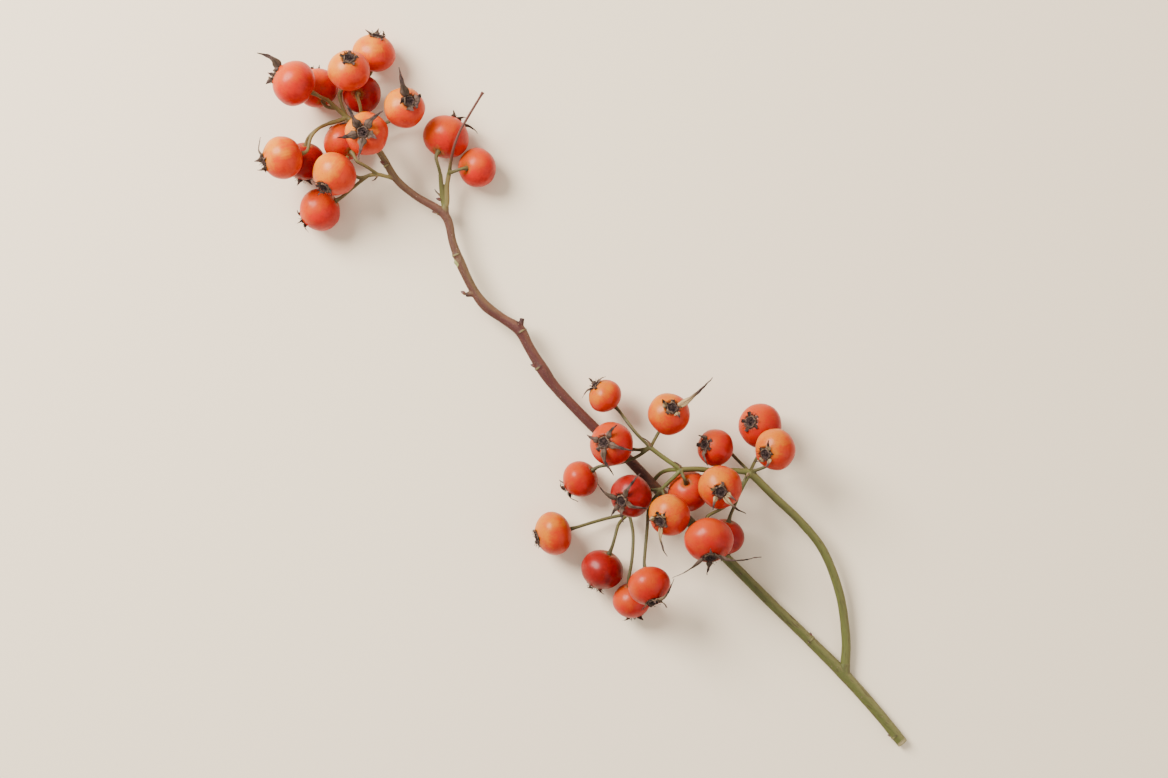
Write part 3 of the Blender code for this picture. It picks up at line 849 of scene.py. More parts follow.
def sepal_rule():
    rule = Rule("sepal_rule", SEPAL_SIZES)
    along, blunt, place = rule.named("along"), rule.named("blunt"), rule.place()
    seeded = rule.vector("ADD", place, rule.joined(rule["Seed"], 0.0, 0.0))
    shaken = rule.vector("SUBTRACT", rule.noise(seeded, 330.0, 1.0, "Color"), (0.5, 0.5, 0.5))
    shaken = rule.times(shaken, rule["Wave"] * along * along * (1.0 - blunt))
    line = rule.moved(rule.add("GeometryNodeMeshToCurve", Mesh=rule["Geometry"]), Offset=shaken)
    outward = rule.vector("SUBTRACT", place, rule.named("inside", "FLOAT_VECTOR"))
    across = rule.vector("CROSS_PRODUCT", rule.add("GeometryNodeInputTangent"), outward)
    line = rule.add("GeometryNodeSetCurveNormal", Curve=line, Normal=across, mode="FREE")
    turning = (rule.noise(seeded, 120.0, 0.0) - 0.5) * 2.0 * rule["Twist"] * along
    line = rule.add("GeometryNodeSetCurveTilt", Curve=line, Tilt=turning)
    leaf = (1.0 - along) * (0.62 + along.bell(0.17, 0.14) * 0.45 + along.bell(0.62, 0.10) * 0.22)
    torn = 1.0 - along * 0.55
    width = (leaf * (1.0 - blunt) + torn * blunt) * rule["Half Width"] + rule["Thread"]
    x, y, _ = rule.split(place)
    section = rule.kept(rule.ring(SECTION_SIDES), "across", x)
    bent = rule.joined(x, y * BLADE_THICK + x * x * rule["Fold"], 0.0)
    blade = rule.swept(line, rule.moved(section, Position=bent), width)
    wrinkle = (rule.noise(place, 900.0, 2.0) - 0.5) * 0.30 * MM
    blade = rule.moved(blade, Offset=rule.times(rule.add("GeometryNodeInputNormal"), wrinkle))
    return rule.end(rule.kept(blade, "pale", rule["Pale"]))


SEPAL_RULE = sepal_rule()
print("sepal rule:", len(SEPAL_RULE.nodes), "nodes")

# %% [markdown]
# ## The colour of a sepal
#
# Dry sepals are grey brown, darkest on their ribs and tips. A few have kept a papery, straw-coloured
# base with fine darker veins. Distance along the blade and across it were stored by the rule, so the
# veins run lengthwise on every blade.


# %% The sepal finish
def sepal_finish():
    paint = Paint("dried_sepal")
    along, across, pale = (paint.stored(name) for name in ("along", "across", "pale"))
    blotch = paint.flecks(420.0, 3.0)
    veins = paint.noise(paint.joined(across * 4.0, along * 1.5, blotch * 0.4), 2.2, 2.0)
    brown = paint.mixed(blotch.step(0.35, 0.65), (0.026, 0.016, 0.015), (0.110, 0.068, 0.058))
    straw = paint.mixed(veins.step(0.40, 0.62), (0.46, 0.33, 0.17), (0.22, 0.13, 0.06))
    papery = (along + blotch * 0.3).step(0.72, 0.36) * pale
    rib = across.bell(0.0, 0.16) * 0.6
    colour = paint.layered(brown, (papery, straw), (rib, (0.026, 0.017, 0.012)))
    bump = paint.bump(veins + blotch * 0.6, 0.12)
    return paint.done(Base_Color=colour, Roughness=0.80, Specular_IOR_Level=DULL, Normal=bump)


SEPAL_FINISH = sepal_finish()
print("finish:", SEPAL_FINISH.name)

# %% [markdown]
# ## Sepals on their hips
#
# Most sepals dried narrow and crooked, a few broad and almost straight. On the straight ones the flat
# side is turned up, so the place that the inner side faces is put far below instead of in the hip.

# %% Which sepals are pale, broad or straight
PALE_BASES = {
    "lower_hip_02": 1.0,
    "lower_hip_09": 0.35,
    "lower_hip_10": 0.9,
    "lower_hip_12": 0.8,
    "lower_hip_17": 0.8,
}
USUAL_PALE = 0.10
BROAD = {  # hips whose sepals are broader than most
    "upper_hip_01": 1.6,
    "upper_hip_06": 1.9,
    "upper_hip_07": 1.7,
    "upper_hip_09": 1.5,
    "upper_hip_11": 1.25,
    "lower_hip_02": 1.3,
    "lower_hip_03": 1.2,
    "lower_hip_05": 1.25,
    "lower_hip_13": 1.2,
}
STRAIGHT = ("upper_hip_01", "upper_hip_06")
STRAIGHT_TWIST = 0.12  # of the usual twist
STRAIGHT_WAVE = 0.3 * MM
USUAL_WAVE = 1.6 * MM
FAR_BELOW = Vector((0.0, 0.0, 40.0)) * MM
print(len(BROAD), "hips with broad sepals,", len(PALE_BASES), "with pale ones")

# %% [markdown]
# A blade's line has only a few measured points, so a smooth curve is laid through them before it is
# swept. A torn stub has no solid to measure: it gets a short bent line of its own, out over the rim.
# All the lines of a hip go into one guide mesh of edges, which carries what the rule asks for at each
# point.

# %% A smooth line through a few points
STEP = 0.35 * MM


def smoothed(rows, spacing):
    """Points about a spacing apart on a smooth curve through rows of numbers that start with x, y, z."""
    rows = [np.array(row, float) for row in rows]
    rows = [rows[0] * 2 - rows[1], *rows, rows[-1] * 2 - rows[-2]]
    points = []
    for before, start, end, after in zip(rows, rows[1:], rows[2:], rows[3:]):
        count = max(1, round(float(np.linalg.norm((end - start)[:3])) / spacing))
        for t in np.arange(count) / count:
            square = before * 2 - start * 5 + end * 4 - after
            cube = start * 3 - before - end * 3 + after
            points.append((start * 2 + (end - before) * t + square * t * t + cube * t**3) / 2)
    points.append(rows[-2])
    return np.array(points)


print("a blade's line has a point about every", round(STEP / MM, 2), "mm")

# %% Torn stubs
STUB_ANGLE = math.radians(36.0)  # a stub keeps this far from a blade
STUB_SEAT = 0.85  # of the crown's radius
STUB_BEND = (0.8, 0.25)  # where it turns, outwards and along the hip's axis, in mm
STUB_SINK = 0.1


def sector(hip, point):
    """The angle of a point round a hip's axis."""
    local = hip.turn.inverted() @ (point - hip.middle)
    return math.atan2(local.y, local.x)


def stub_line(hip, angle):
    """The middle line of a torn sepal: out over the rim, then up or down by chance."""
    out = hip.turn @ Vector((math.cos(angle), math.sin(angle), 0.0))
    length, rise = drawn(0.4, 1.5) * MM, drawn(-0.2, 0.9)
    start = hip.calyx_end - hip.axis * STUB_SINK * MM + out * hip.radius * CROWN_SHARE * STUB_SEAT
    bend = start + out * STUB_BEND[0] * MM + hip.axis * STUB_BEND[1] * MM
    return [start, bend, bend + (out + hip.axis * rise).normalized() * length]


print("a stub is at least", round(math.degrees(STUB_ANGLE)), "degrees from a blade")

# %% Lines for the sepals
SEPALS = 5


def note(mesh, name, values):
    """Stores numbers or vectors on a mesh's points."""
    kind, field = ("FLOAT_VECTOR", "vector") if values.ndim == 2 else ("FLOAT", "value")
    mesh.attributes.new(name, kind, "POINT").data.foreach_set(field, values.astype(np.float32).ravel())


def blade_guide(name, lines, lift):
    """Middle lines as chains of edges, with how torn each is and the place that its inner side faces."""
    points, edges, along, blunt, inside = [], [], [], [], []
    for line, torn, faced in lines:
        fine = smoothed(line, STEP)
        edges += [(len(points) + n, len(points) + n + 1) for n in range(len(fine) - 1)]
        points += [Vector(point) + lift for point in fine]
        along += list(np.linspace(0.0, 1.0, len(fine)))
        blunt += [torn] * len(fine)
        inside += [tuple(faced)] * len(fine)
    mesh = bpy.data.meshes.new(name)
    mesh.from_pydata(points, edges, [])
    note(mesh, "along", np.array(along))
    note(mesh, "blunt", np.array(blunt))
    note(mesh, "inside", np.array(inside))
    return mesh


def sepal_guide(hip):
    """The middle lines of a hip's sepals, with stubs in the empty places."""
    faced = hip.middle - FAR_BELOW if hip.name in STRAIGHT else hip.middle
    lines = [(line, 0.0, faced) for line in BLADES[hip.name]]
    angles = [sector(hip, line[-1]) for line, _, _ in lines]
    first = angles[0] if angles else drawn(0.0, 2.0)
    for number in range(SEPALS):
        angle = first + math.tau * number / SEPALS
        near = [abs(math.remainder(angle - other, math.tau)) for other in angles]
        if len(lines) < SEPALS and min(near, default=math.pi) > STUB_ANGLE:
            lines.append((stub_line(hip, angle), 1.0, faced))
    return blade_guide(f"{hip.name}_guide", lines, hip.lift)


print("a rose has", SEPALS, "sepals, and a torn one leaves a stub")


# %% Growing the sepals
def grow_sepals(hip):
    straight = hip.name in STRAIGHT
    sizes = {
        "Half Width": drawn(0.95, 1.25) * MM * BROAD.get(hip.name, 1.0),
        "Twist": drawn(0.6, 2.2) * (STRAIGHT_TWIST if straight else 1.0),
        "Wave": STRAIGHT_WAVE if straight else USUAL_WAVE,
        "Fold": drawn(0.25, 0.55),
        "Seed": drawn(0.0, 9.0),
        "Pale": PALE_BASES.get(hip.name, USUAL_PALE),
    }
    sepals = grow(f"{hip.name}_sepals", SEPAL_RULE, sizes, SEPAL_FINISH, sepal_guide(hip))
    rest_on_table(sepals.data)
    return belongs(sepals, CALYXES.get(hip.name))


tell("sets of sepals:", [grow_sepals(hip) for hip in HIPS.values()])

# %% [markdown]
# ## The routes of the stem and the stalks
#
# The wood follows listed routes: x, y and height in millimetres, then the radius. They are the
# routes that the solids were made on, so the new surface lies where the solid lies. The stem swells at
# each bud and bends a little there. Its spurs are what is left of broken and sprouting side shoots,
# and the feet of the stalks. A stalk that ends in a hip gets its last points from the hip: a straight
# run along its axis, widening into the dimple.

# %% The forks and the main stem
FIRST_FORK = (-87, 101, 11.5)
TIP_FORK = (-91.5, 105, 12)
LEFT_FORK = (-98.5, 102.5, 14.2)
SIDE_FORK = (-83.5, 82.8, 9.5)
BRANCH_FORK = (64, -32, 12.5)
RIGHT_FORK = (60, -40, 13.2)
MIDDLE_FORK = (37.5, -31, 17)
INNER_FORK = (30, -38.5, 14.8)
FAR_FORK = (25.5, -22.5, 16.5)
LOW_FORK = (17.5, -48.5, 4.5)
MAIN_STEM = (
    (-82, 95.5, 10.5, 1.35), (-78, 90, 10, 1.35), (-73, 81.5, 9.5, 1.5), (-65.5, 75, 9, 1.45),
    (-54, 67.5, 8.5, 1.75), (-51, 57, 8.5, 1.6), (-48, 49, 8.5, 1.95), (-43.5, 39.5, 8.5, 1.75),
    (-38.5, 32.5, 8.5, 2.1), (-31, 27, 8.5, 1.9), (-25, 23, 8.5, 2.35), (-21.5, 16.5, 8.5, 2),
    (-16, 7.5, 8.5, 2.4), (-10.5, 0, 8.2, 2.05), (2.5, -13.5, 7.8, 2.05), (10.5, -21, 7.5, 2.1),
    (18, -28, 7.2, 2.05), (27, -37.5, 6.8, 2.1), (40, -50.5, 4.8, 2), (54.5, -65, 3.6, 1.95),
    (72.5, -83, 3, 2), (87.5, -97.5, 2.6, 2.1), (101.5, -111.5, 2.4, 2.35), (114, -125.5, 2.3, 2.2),
    (124.8, -138.8, 2.2, 2.2),
)
STEM_SPURS = (
    ((-43.5, 37, 8.5, 1.3), (-46, 36.5, 9, 0.9)),
    ((-25, 23, 8.5, 1.4), (-24.2, 26.2, 8.8, 0.85), (-24, 27.5, 8.9, 1)),
    ((-73, 81.5, 9.5, 1), (-76, 82.3, 9.5, 0.85)),
    ((-54, 67.5, 8.5, 1.6), (-53.9, 71, 8.5, 1.45)),
    ((101.5, -111.5, 2.4, 2.1), (101.8, -106.8, 2.6, 1.95)),
    ((-49, 49.6, 8.8, 1.2), (-50.3, 48.7, 9.2, 0.7)),
)
print("the stem has", len(MAIN_STEM), "points and", len(STEM_SPURS), "spurs")

# %% The stalks between the forks
STALKS = {
    "tip_stalks": (
        ((-80.9, 94.1, 10.4, 1.2), (-82.3, 96, 10.6, 1.25), (*FIRST_FORK, 1.15), (*TIP_FORK, 1.15)),
        ((*TIP_FORK, 1), (-95.5, 108.3, 13.6, 0.9), (-99, 111.5, 16, 0.85)),
        ((*TIP_FORK, 1), (-95, 103.6, 13.2, 0.9), (*LEFT_FORK, 0.85)),
    ),
    "side_stalks": (
        ((-74.8, 82, 9.5, 0.78), (-76.3, 82.3, 9.5, 0.82), (-80, 83.3, 9.5, 0.8), (*SIDE_FORK, 0.85)),
    ),
    "right_stalks": (
        ((-53.9, 69.8, 8.5, 1.25), (-53.9, 71.2, 8.5, 1.25)),
        (
            (-54.3, 70.6, 8.5, 0.95), (-54.8, 73.2, 8.6, 1.05), (-55.3, 78, 9.6, 0.95),
            (-55.6, 83, 11.4, 0.85),
        ),
        (
            (-53.5, 70.6, 8.5, 0.95), (-53.1, 73.4, 8.6, 1.05), (-53.2, 78.5, 9.4, 0.95),
            (-52.3, 83.5, 10.6, 0.95),
        ),
        (
            (-52.3, 83.5, 10.6, 0.85), (-51.6, 87, 13.6, 0.7), (-50.3, 92.5, 17.8, 0.6),
            (-48, 98.5, 19.4, 0.55), (-45.2, 103.5, 19.8, 0.55), (-39.4, 113, 20.5, 0.55),
            (-38.8, 114, 20.6, 0.8),
        ),
    ),
    "side_branch": (
        (
            (101.8, -107.9, 2.6, 1.8), (101.8, -106.4, 2.6, 1.88), (102, -97, 3.2, 1.8),
            (99.5, -80, 5, 1.75), (93, -63, 7.5, 1.7), (84, -51.5, 9.2, 1.65), (74, -42, 11, 1.6),
            (*BRANCH_FORK, 1.6),
        ),
        (
            (*BRANCH_FORK, 1.3), (57.5, -31.5, 13.6, 1.15), (51, -31.6, 14.4, 1.1),
            (44, -30.8, 15.6, 1.1), (*MIDDLE_FORK, 1.15),
        ),
        ((*MIDDLE_FORK, 1.05), (31.5, -27, 16.8, 0.95), (*FAR_FORK, 0.95)),
        (
            (*MIDDLE_FORK, 1), (32.8, -31.2, 13, 0.85), (29.2, -33, 6.5, 0.8), (26.6, -36.5, 2.5, 0.8),
            (22, -43, 2.2, 0.8), (*LOW_FORK, 0.85),
        ),
        ((*MIDDLE_FORK, 0.95), (34.5, -34, 17, 0.85), (*INNER_FORK, 0.85)),
        ((*BRANCH_FORK, 1.1), (62, -36, 12.8, 0.9), (*RIGHT_FORK, 0.85)),
    ),
}
print("routes in each group:", {node: len(routes) for node, routes in STALKS.items()})

# %% The stalks that end in hips
PEDICELS = {
    "tip_stalks": {
        "upper_hip_01": ((-99, 111.5, 16), (-101, 112, 19.5)),
        "upper_hip_02": ((-95.5, 108.3, 13.6), (-97.6, 108.6, 13.6)),
        "upper_hip_03": (TIP_FORK, (-93.6, 109.5, 12.8), (-94.6, 114.6, 14)),
        "upper_hip_04": (TIP_FORK, (-94.2, 110, 7.2), (-94.7, 116.5, 3), (-91, 122, 2.4)),
        "upper_hip_05": (FIRST_FORK, (-86, 105, 15), (-86.2, 109.2, 17.8)),
        "upper_hip_06": (FIRST_FORK, (-81, 101.5, 9.5), (-76, 103.5, 9.5)),
        "upper_hip_07": (TIP_FORK, (-88, 101.5, 15), (-84.5, 98.5, 16.5)),
        "upper_hip_09": (LEFT_FORK, (-102, 100.5, 17.5), (-105, 96.5, 20.3)),
        "upper_hip_10": (LEFT_FORK, (-103, 100.5, 13.4)),
    },
    "side_stalks": {
        "upper_hip_08": ((-80, 83.3, 9.5), (-85, 86.5, 12.5), (-88, 88, 14)),
        "upper_hip_11": (SIDE_FORK, (-87.5, 81.8, 9.4), (-90.5, 84.5, 9.8), (-91.5, 88.5, 12)),
        "upper_hip_12": (SIDE_FORK, (-88.5, 79, 9.3)),
    },
    "right_stalks": {
        "upper_hip_13": ((-55.6, 83, 11.4), (-56.4, 86.5, 13.4)),
        "upper_hip_14": ((-52.3, 83.5, 10.6), (-50.3, 84, 13.4)),
    },
    "side_branch": {
        "lower_hip_01": (FAR_FORK, (20.5, -17.5, 15.5), (16.5, -12.5, 13.5)),
        "lower_hip_02": (FAR_FORK, (28, -18, 13.6)),
        "lower_hip_03": (FAR_FORK, (20.5, -23.5, 13.5)),
        "lower_hip_04": (FAR_FORK, (20.5, -26, 14.2), (14, -28.5, 12.6)),
        "lower_hip_05": (INNER_FORK, (26, -39, 12.6)),
        "lower_hip_06": (LOW_FORK, (8, -50.5, 4.6)),
        "lower_hip_07": (LOW_FORK, (13.5, -52, 9), (12, -57, 11)),
        "lower_hip_08": (LOW_FORK, (19, -56, 7.5), (18.5, -66, 11)),
        "lower_hip_09": (INNER_FORK, (25.2, -45, 13.2), (24.4, -53, 14)),
        "lower_hip_10": (INNER_FORK, (31.8, -43, 16.6)),
        "lower_hip_11": (MIDDLE_FORK, (37.6, -32.6, 19.4)),
        "lower_hip_12": ((62, -36, 12.8), (56.5, -37, 13)),
        "lower_hip_13": (RIGHT_FORK, (54.5, -45, 17.5)),
        "lower_hip_14": (RIGHT_FORK, (58.2, -44.5, 15)),
        "lower_hip_15": (BRANCH_FORK, (59.5, -27.5, 9)),
        "lower_hip_16": (BRANCH_FORK, (67.5, -26, 7), (72.6, -19.6, 2.2)),
        "lower_hip_17": (BRANCH_FORK, (70, -30, 13), (76.5, -25.5, 15.5)),
    },
}
print(sum(len(ends) for ends in PEDICELS.values()), "stalks end in hips")

# %% [markdown]
# ## From routes to wood
#
# A tree sweeps a circle along each route, a little thicker here and thinner there. The tubes of one
# piece cross at its forks. Joining them with a Boolean would leave a hard crease in every fork, and
# real wood grows smoothly into its branches. So the tubes are remeshed as one body of small cubes'
# faces and smoothed: the creases fill up like fillets.
#
# The remesh forgets where along the stem a point was. Each new point therefore asks for the nearest
# point of the routes and takes its facts: how far along it is, which way the grain runs, and whether
# it looks to the side that is painted paler, as a painted lit side.

# %% The tube rule
TUBE_SIZES = {"Sides": 16, "Unevenness": 0.10}


def tube_rule():
    rule = Rule("tube_rule", TUBE_SIZES)
    line = rule.add("GeometryNodeMeshToCurve", Mesh=rule["Geometry"])
    swell = (rule.noise(rule.place(), 210.0, 1.0) - 0.5) * rule["Unevenness"] + 1.0
    return rule.end(rule.swept(line, rule.ring(rule["Sides"]), rule.named("radius") * swell))


TUBE_RULE = tube_rule()
print("tube rule:", len(TUBE_RULE.nodes), "nodes")

# %% The run into a hip
STALK_RADIUS = 0.70
COLLAR_DEPTH = 0.9  # how deep the widened end sits in the dimple
LAST_RUN = (  # the straight end of a stalk: the distance from the hip, and the radius
    (2.5, STALK_RADIUS),
    (0.9, 0.80),
    (-COLLAR_DEPTH, 1.20),
)


def hip_route(node, route):
    """A stalk's own points, then the straight run into its hip."""
    hip = HIPS[node]
    rows = [(*point, STALK_RADIUS) for point in route]
    foot = hip.half_length * math.cos(STALK_CUT) / MM
    for before, radius in LAST_RUN:
        rows.append((*((hip.middle + hip.lift) / MM - hip.axis * (foot + before)), radius))
    return rows


print("a stalk ends", COLLAR_DEPTH, "mm inside its hip")

# %% Routes with their facts
FINE_STEP = 0.8 * MM
EASING = 4  # times over


def eased(chain):
    """A chain whose sharp turns are rounded off, with its two ends where they were."""
    for _ in range(EASING):
        chain[1:-1] = (chain[:-2] + chain[1:-1] * 2 + chain[2:]) / 4
    return chain


class Wood:
    """The routes of one piece, as fine points with their facts."""

    def __init__(self, routes):
        self.chains = [eased(smoothed(np.array(rows) * MM, FINE_STEP)) for rows in routes]
        self.starts = np.cumsum([0, *map(len, self.chains)])
        self.points = np.concatenate(self.chains)
        facts = zip(*map(self.facts, self.chains))
        self.ways, self.lengths, self.alongs = map(np.concatenate, facts)
        self.tree = KDTree(len(self.points))
        for number, point in enumerate(self.points):
            self.tree.insert(point[:3], number)
        self.tree.balance()

    def facts(self, chain):
        """The way, the length so far, and its share of the whole length at each point."""
        place = chain[:, :3]
        steps = np.linalg.norm(np.diff(place, axis=0), axis=1)
        length = np.concatenate([[0.0], np.cumsum(steps)])
        way = np.gradient(place, axis=0)
        way /= np.linalg.norm(way, axis=1)[:, None]
        return way, length, length / length[-1]

    def guide(self, name):
        ends = self.starts[1:] - 1
        edges = [(n, n + 1) for n in range(len(self.points) - 1) if n not in ends]
        mesh = bpy.data.meshes.new(name)
        mesh.from_pydata([tuple(point[:3]) for point in self.points], edges, [])
        note(mesh, "radius", self.points[:, 3])
        return mesh

    def nearest(self, places):
        return np.array([self.tree.find(place)[1] for place in places])

    def own(self, near, number):
        """Which of the nearest points belong to one route."""
        return (near >= self.starts[number]) & (near < self.starts[number + 1])


print("routes become points about", round(FINE_STEP / MM, 1), "mm apart")

# %% One body from crossing tubes
VOXEL = 0.26 * MM
SMOOTHING = 8
# the side of the wood that is painted paler, as a painted lit side
BARK_LIT_WAY = Vector((0.66, 0.50, 0.56)).normalized()
GRAIN_PULL = 0.14  # how fast the grain's patterns change along the wood, where 1 is as fast as across
LEAST_REACH = 0.05 * MM


def one_body(mesh):
    """Crossing tubes as one smooth body."""
    holder = added(bpy.data.objects.new("wood_holder", mesh))
    remesh = holder.modifiers.new("body", "REMESH")
    remesh.mode = "VOXEL"
    remesh.voxel_size = VOXEL
    remesh.use_smooth_shade = True
    smooth = holder.modifiers.new("smooth", "SMOOTH")
    smooth.factor = 0.5
    smooth.iterations = SMOOTHING
    return plain_mesh(holder)


def grow_wood(name, wood, finish):
    """The body of one set of routes, with each point's facts stored on it."""
    tubes = grow(f"{name}_tubes", TUBE_RULE, {}, finish, wood.guide(f"{name}_guide"))
    mesh = tubes.data
    bpy.data.objects.remove(tubes)
    body = placed(name, one_body(mesh))
    body.data.materials.clear()
    body.data.materials.append(finish)
    rest_on_table(body.data)
    places = coordinates(body.data)
    near = wood.nearest(places)
    ways = wood.ways[near]
    off = places - wood.points[near, :3]
    slide = (off * ways).sum(1)
    length = wood.lengths[near] + slide
    off -= slide[:, None] * ways
    outward = off / np.maximum(np.linalg.norm(off, axis=1), LEAST_REACH)[:, None]
    note(body.data, "along", wood.alongs[near])
    note(body.data, "grain", (off + ways * length[:, None] * GRAIN_PULL) / MM)
    # painted lit side: how far each point looks to the side that is painted paler
    note(body.data, "sunny", outward @ np.array(BARK_LIT_WAY))
    return body, near, outward, length


print("voxels of", round(VOXEL / MM, 2), "mm")

# %% [markdown]
# ## Bark
#
# The bark is thin and smooth. Near the tip it is this year's olive-tan wood, lower down it has
# reddened, and the oldest part is green again. One side is painted paler, as a painted lit side. Fine
# streaks run with the grain, leaf scars are pale rings with a dark edge, and the lower end is a fresh
# slanting cut through pale wood to its pith. Broken side shoots have died back to dark stubs, the feet
# of the green stalks are green, and one bud has just begun to swell. The grain's own coordinates keep
# the streaks lengthwise round every bend.

# %% The colours of the bark
BARK_COLOURS = (
    (0.00, (0.098, 0.066, 0.024)),
    (0.11, (0.108, 0.038, 0.026)),
    (0.19, (0.090, 0.036, 0.021)),
    (0.29, (0.078, 0.019, 0.017)),
    (0.50, (0.070, 0.016, 0.015)),
    (0.57, (0.072, 0.034, 0.019)),
    (0.66, (0.076, 0.082, 0.020)),
    (1.00, (0.088, 0.098, 0.022)),
)
# paler colours along the stem, for its painted lit side
LIT_BARK_COLOURS = (
    (0.00, (0.260, 0.210, 0.085)),
    (0.11, (0.220, 0.105, 0.065)),
    (0.22, (0.180, 0.115, 0.050)),
    (0.29, (0.200, 0.085, 0.047)),
    (0.36, (0.135, 0.042, 0.030)),
    (0.54, (0.125, 0.040, 0.028)),
    (0.66, (0.190, 0.165, 0.060)),
    (1.00, (0.200, 0.180, 0.065)),
)
DARK_STREAK = (0.042, 0.018, 0.013)
PALE_FIBRE = (0.26, 0.18, 0.10)
SCAR_RIDGE = (0.22, 0.19, 0.075)
SCAR_EDGE = (0.045, 0.024, 0.016)
DEAD_WOOD = (0.034, 0.017, 0.015)
GREEN_FOOT = (0.160, 0.125, 0.042)
FRESH_BUD = (0.260, 0.270, 0.095)
CUT_WOOD = (0.40, 0.34, 0.17)
CUT_RING = (0.36, 0.30, 0.14)
CUT_RIM = (0.14, 0.13, 0.04)
PITH = (0.50, 0.41, 0.25)
print("the bark runs through", len(BARK_COLOURS), "colours, and painted_lit through", len(LIT_BARK_COLOURS))


# %% The bark finish
def bark_finish():
    paint = Paint("rose_bark")
    grain = paint.stored("grain", "Vector")
    along, scar, cut = (paint.stored(name) for name in ("along", "scar", "cut"))
    dead, green, fresh = (paint.stored(name) for name in ("dead", "green", "fresh"))
    streaks = paint.noise(grain, 1.7, 4.0)
    patches = paint.noise(grain, 0.42, 2.0)
    fibres = paint.noise(grain, 7.0, 2.0)
    age = along + (patches - 0.5) * 0.06
    # painted lit side: paler where the wood looks towards the lit way, broken by streaks
    lit = (paint.stored("sunny") * 0.5 + streaks * 0.5).step(0.46, 0.76)
    rings = paint.math("SINE", cut * 26.0 + streaks * 2.0) * 0.5 + 0.5
    wood = paint.layered(
        CUT_WOOD,
        (rings * 0.35, CUT_RING),
        (cut.step(0.34, 0.26), PITH),
        (cut.step(0.86, 0.96), CUT_RIM),
    )
    colour = paint.layered(
        paint.ramp(age, BARK_COLOURS),
        (lit * 0.75, paint.ramp(age, LIT_BARK_COLOURS)),
        (streaks.step(0.50, 0.70) * 0.70, DARK_STREAK),
        (fibres.step(0.56, 0.74) * 0.35, PALE_FIBRE),
        (scar.step(0.55, 0.85) * 0.70, SCAR_RIDGE),
        (scar.bell(0.42, 0.13) * 0.7, SCAR_EDGE),
        (dead.step(0.35, 0.85) * 0.8, DEAD_WOOD),
        ((green + streaks * 0.4).step(0.35, 1.15), GREEN_FOOT),
        (fresh.step(0.30, 0.60), FRESH_BUD),
        (paint.math("GREATER_THAN", cut, 0.001), wood),
    )
    bump = paint.bump(streaks + fibres * 0.35, 0.14, 0.8)
    rough = 0.48 + fibres * 0.22
    return paint.done(Base_Color=colour, Roughness=rough, Specular_IOR_Level=0.28, Normal=bump)


BARK = bark_finish()
print("finish:", BARK.name)

# %% [markdown]
# ## The skin of the stalks
#
# The stalks stay green longer than the stem. The forked ones are the oldest and thickest; those that
# end in hips are darker, and darkest at the hip. They are painted paler on the same side as the stem,
# as a painted lit side, and a stored share turns some golden and one rusty; the gold is laid more
# thickly on that side.

# %% The stalk finish
STALK_COLOURS = (
    (0.00, (0.100, 0.108, 0.025)),
    (0.45, (0.072, 0.068, 0.020)),
    (1.00, (0.040, 0.030, 0.014)),
)
# paler colour for the stalks' painted lit side
LIT_STALK_COLOUR = (0.225, 0.195, 0.062)
STALK_STREAK = (0.040, 0.026, 0.013)
GOLD = (0.270, 0.175, 0.062)
RUST = (0.110, 0.034, 0.024)


def stalk_finish():
    paint = Paint("stalk_skin")
    grain = paint.stored("grain", "Vector")
    streaks = paint.noise(grain, 1.9, 3.0)
    patches = paint.noise(grain, 0.55, 2.0)
    specks = paint.noise(grain, 9.0, 1.0)
    age = paint.stored("to_hip") * 0.55 + paint.stored("along") * 0.30 + (patches - 0.5) * 0.9
    # painted lit side: paler on the same side as on the stem
    lit = (paint.stored("sunny") * 0.5 + streaks * 0.5).step(0.35, 0.85)
    colour = paint.layered(
        paint.ramp(age, STALK_COLOURS),
        (lit * 0.55, LIT_STALK_COLOUR),
        (streaks.step(0.52, 0.72) * 0.60, STALK_STREAK),
        # gold, laid more thickly on the painted lit side
        (paint.stored("golden") * (0.30 + lit * 0.30 + streaks * 0.3), GOLD),
        (paint.stored("rusty"), RUST),
    )
    bump = paint.bump(streaks + specks * 0.4, 0.10, 0.8)
    rough = 0.45 + specks * 0.2
    return paint.done(Base_Color=colour, Roughness=rough, Specular_IOR_Level=0.30, Normal=bump)


STALK_SKIN = stalk_finish()
print("finish:", STALK_SKIN.name)

# %% [markdown]
# ## The main stem
#
# Each leaf left a scar: a thin raised ridge part of the way round, with a bud above it. The ridges are
# made by moving the body's own points outwards, as little bells along the stem. The cut end is made
# the same way: every point beyond a slanting plane is laid back onto it.

# %% Scars, spurs and the cut
SCARS = (  # distance from the tip, the side as an angle seen along the stem, and whether it has a bud
    (10.5, 2.4, True),
    (38.0, 3.6, True),
    (56.5, 2.3, False),
    (96.5, 0.7, False),
    (112.0, 3.0, True),
    (160.0, 0.4, True),
    (213.0, 2.6, True),
    (262.0, 0.3, True),
    (312.0, 3.2, True),
)
DEAD_SPURS = (0, 1)
GREEN_SPURS = (2, 3)
FRESH_SPURS = (5,)
SCAR_WIDTH = 0.55 * MM
SCAR_HEIGHT = 0.30 * MM
SCAR_FACING = 0.8
SCAR_REACH = 0.45  # how far round the stem it runs, where 0 is half of the way
CUT_SLANT = math.radians(28.0)


def side_of(ways, angle):
    """The outward direction at an angle round the wood, with 0 on its left and a quarter on top."""
    ways = np.atleast_2d(ways)
    left = np.cross((0.0, 0.0, 1.0), ways)
    left /= np.linalg.norm(left, axis=1)[:, None]
    return left * math.cos(angle) + np.cross(ways, left) * math.sin(angle)


print("leaf scars:", len(SCARS), "and the cut slants", round(math.degrees(CUT_SLANT)), "degrees")


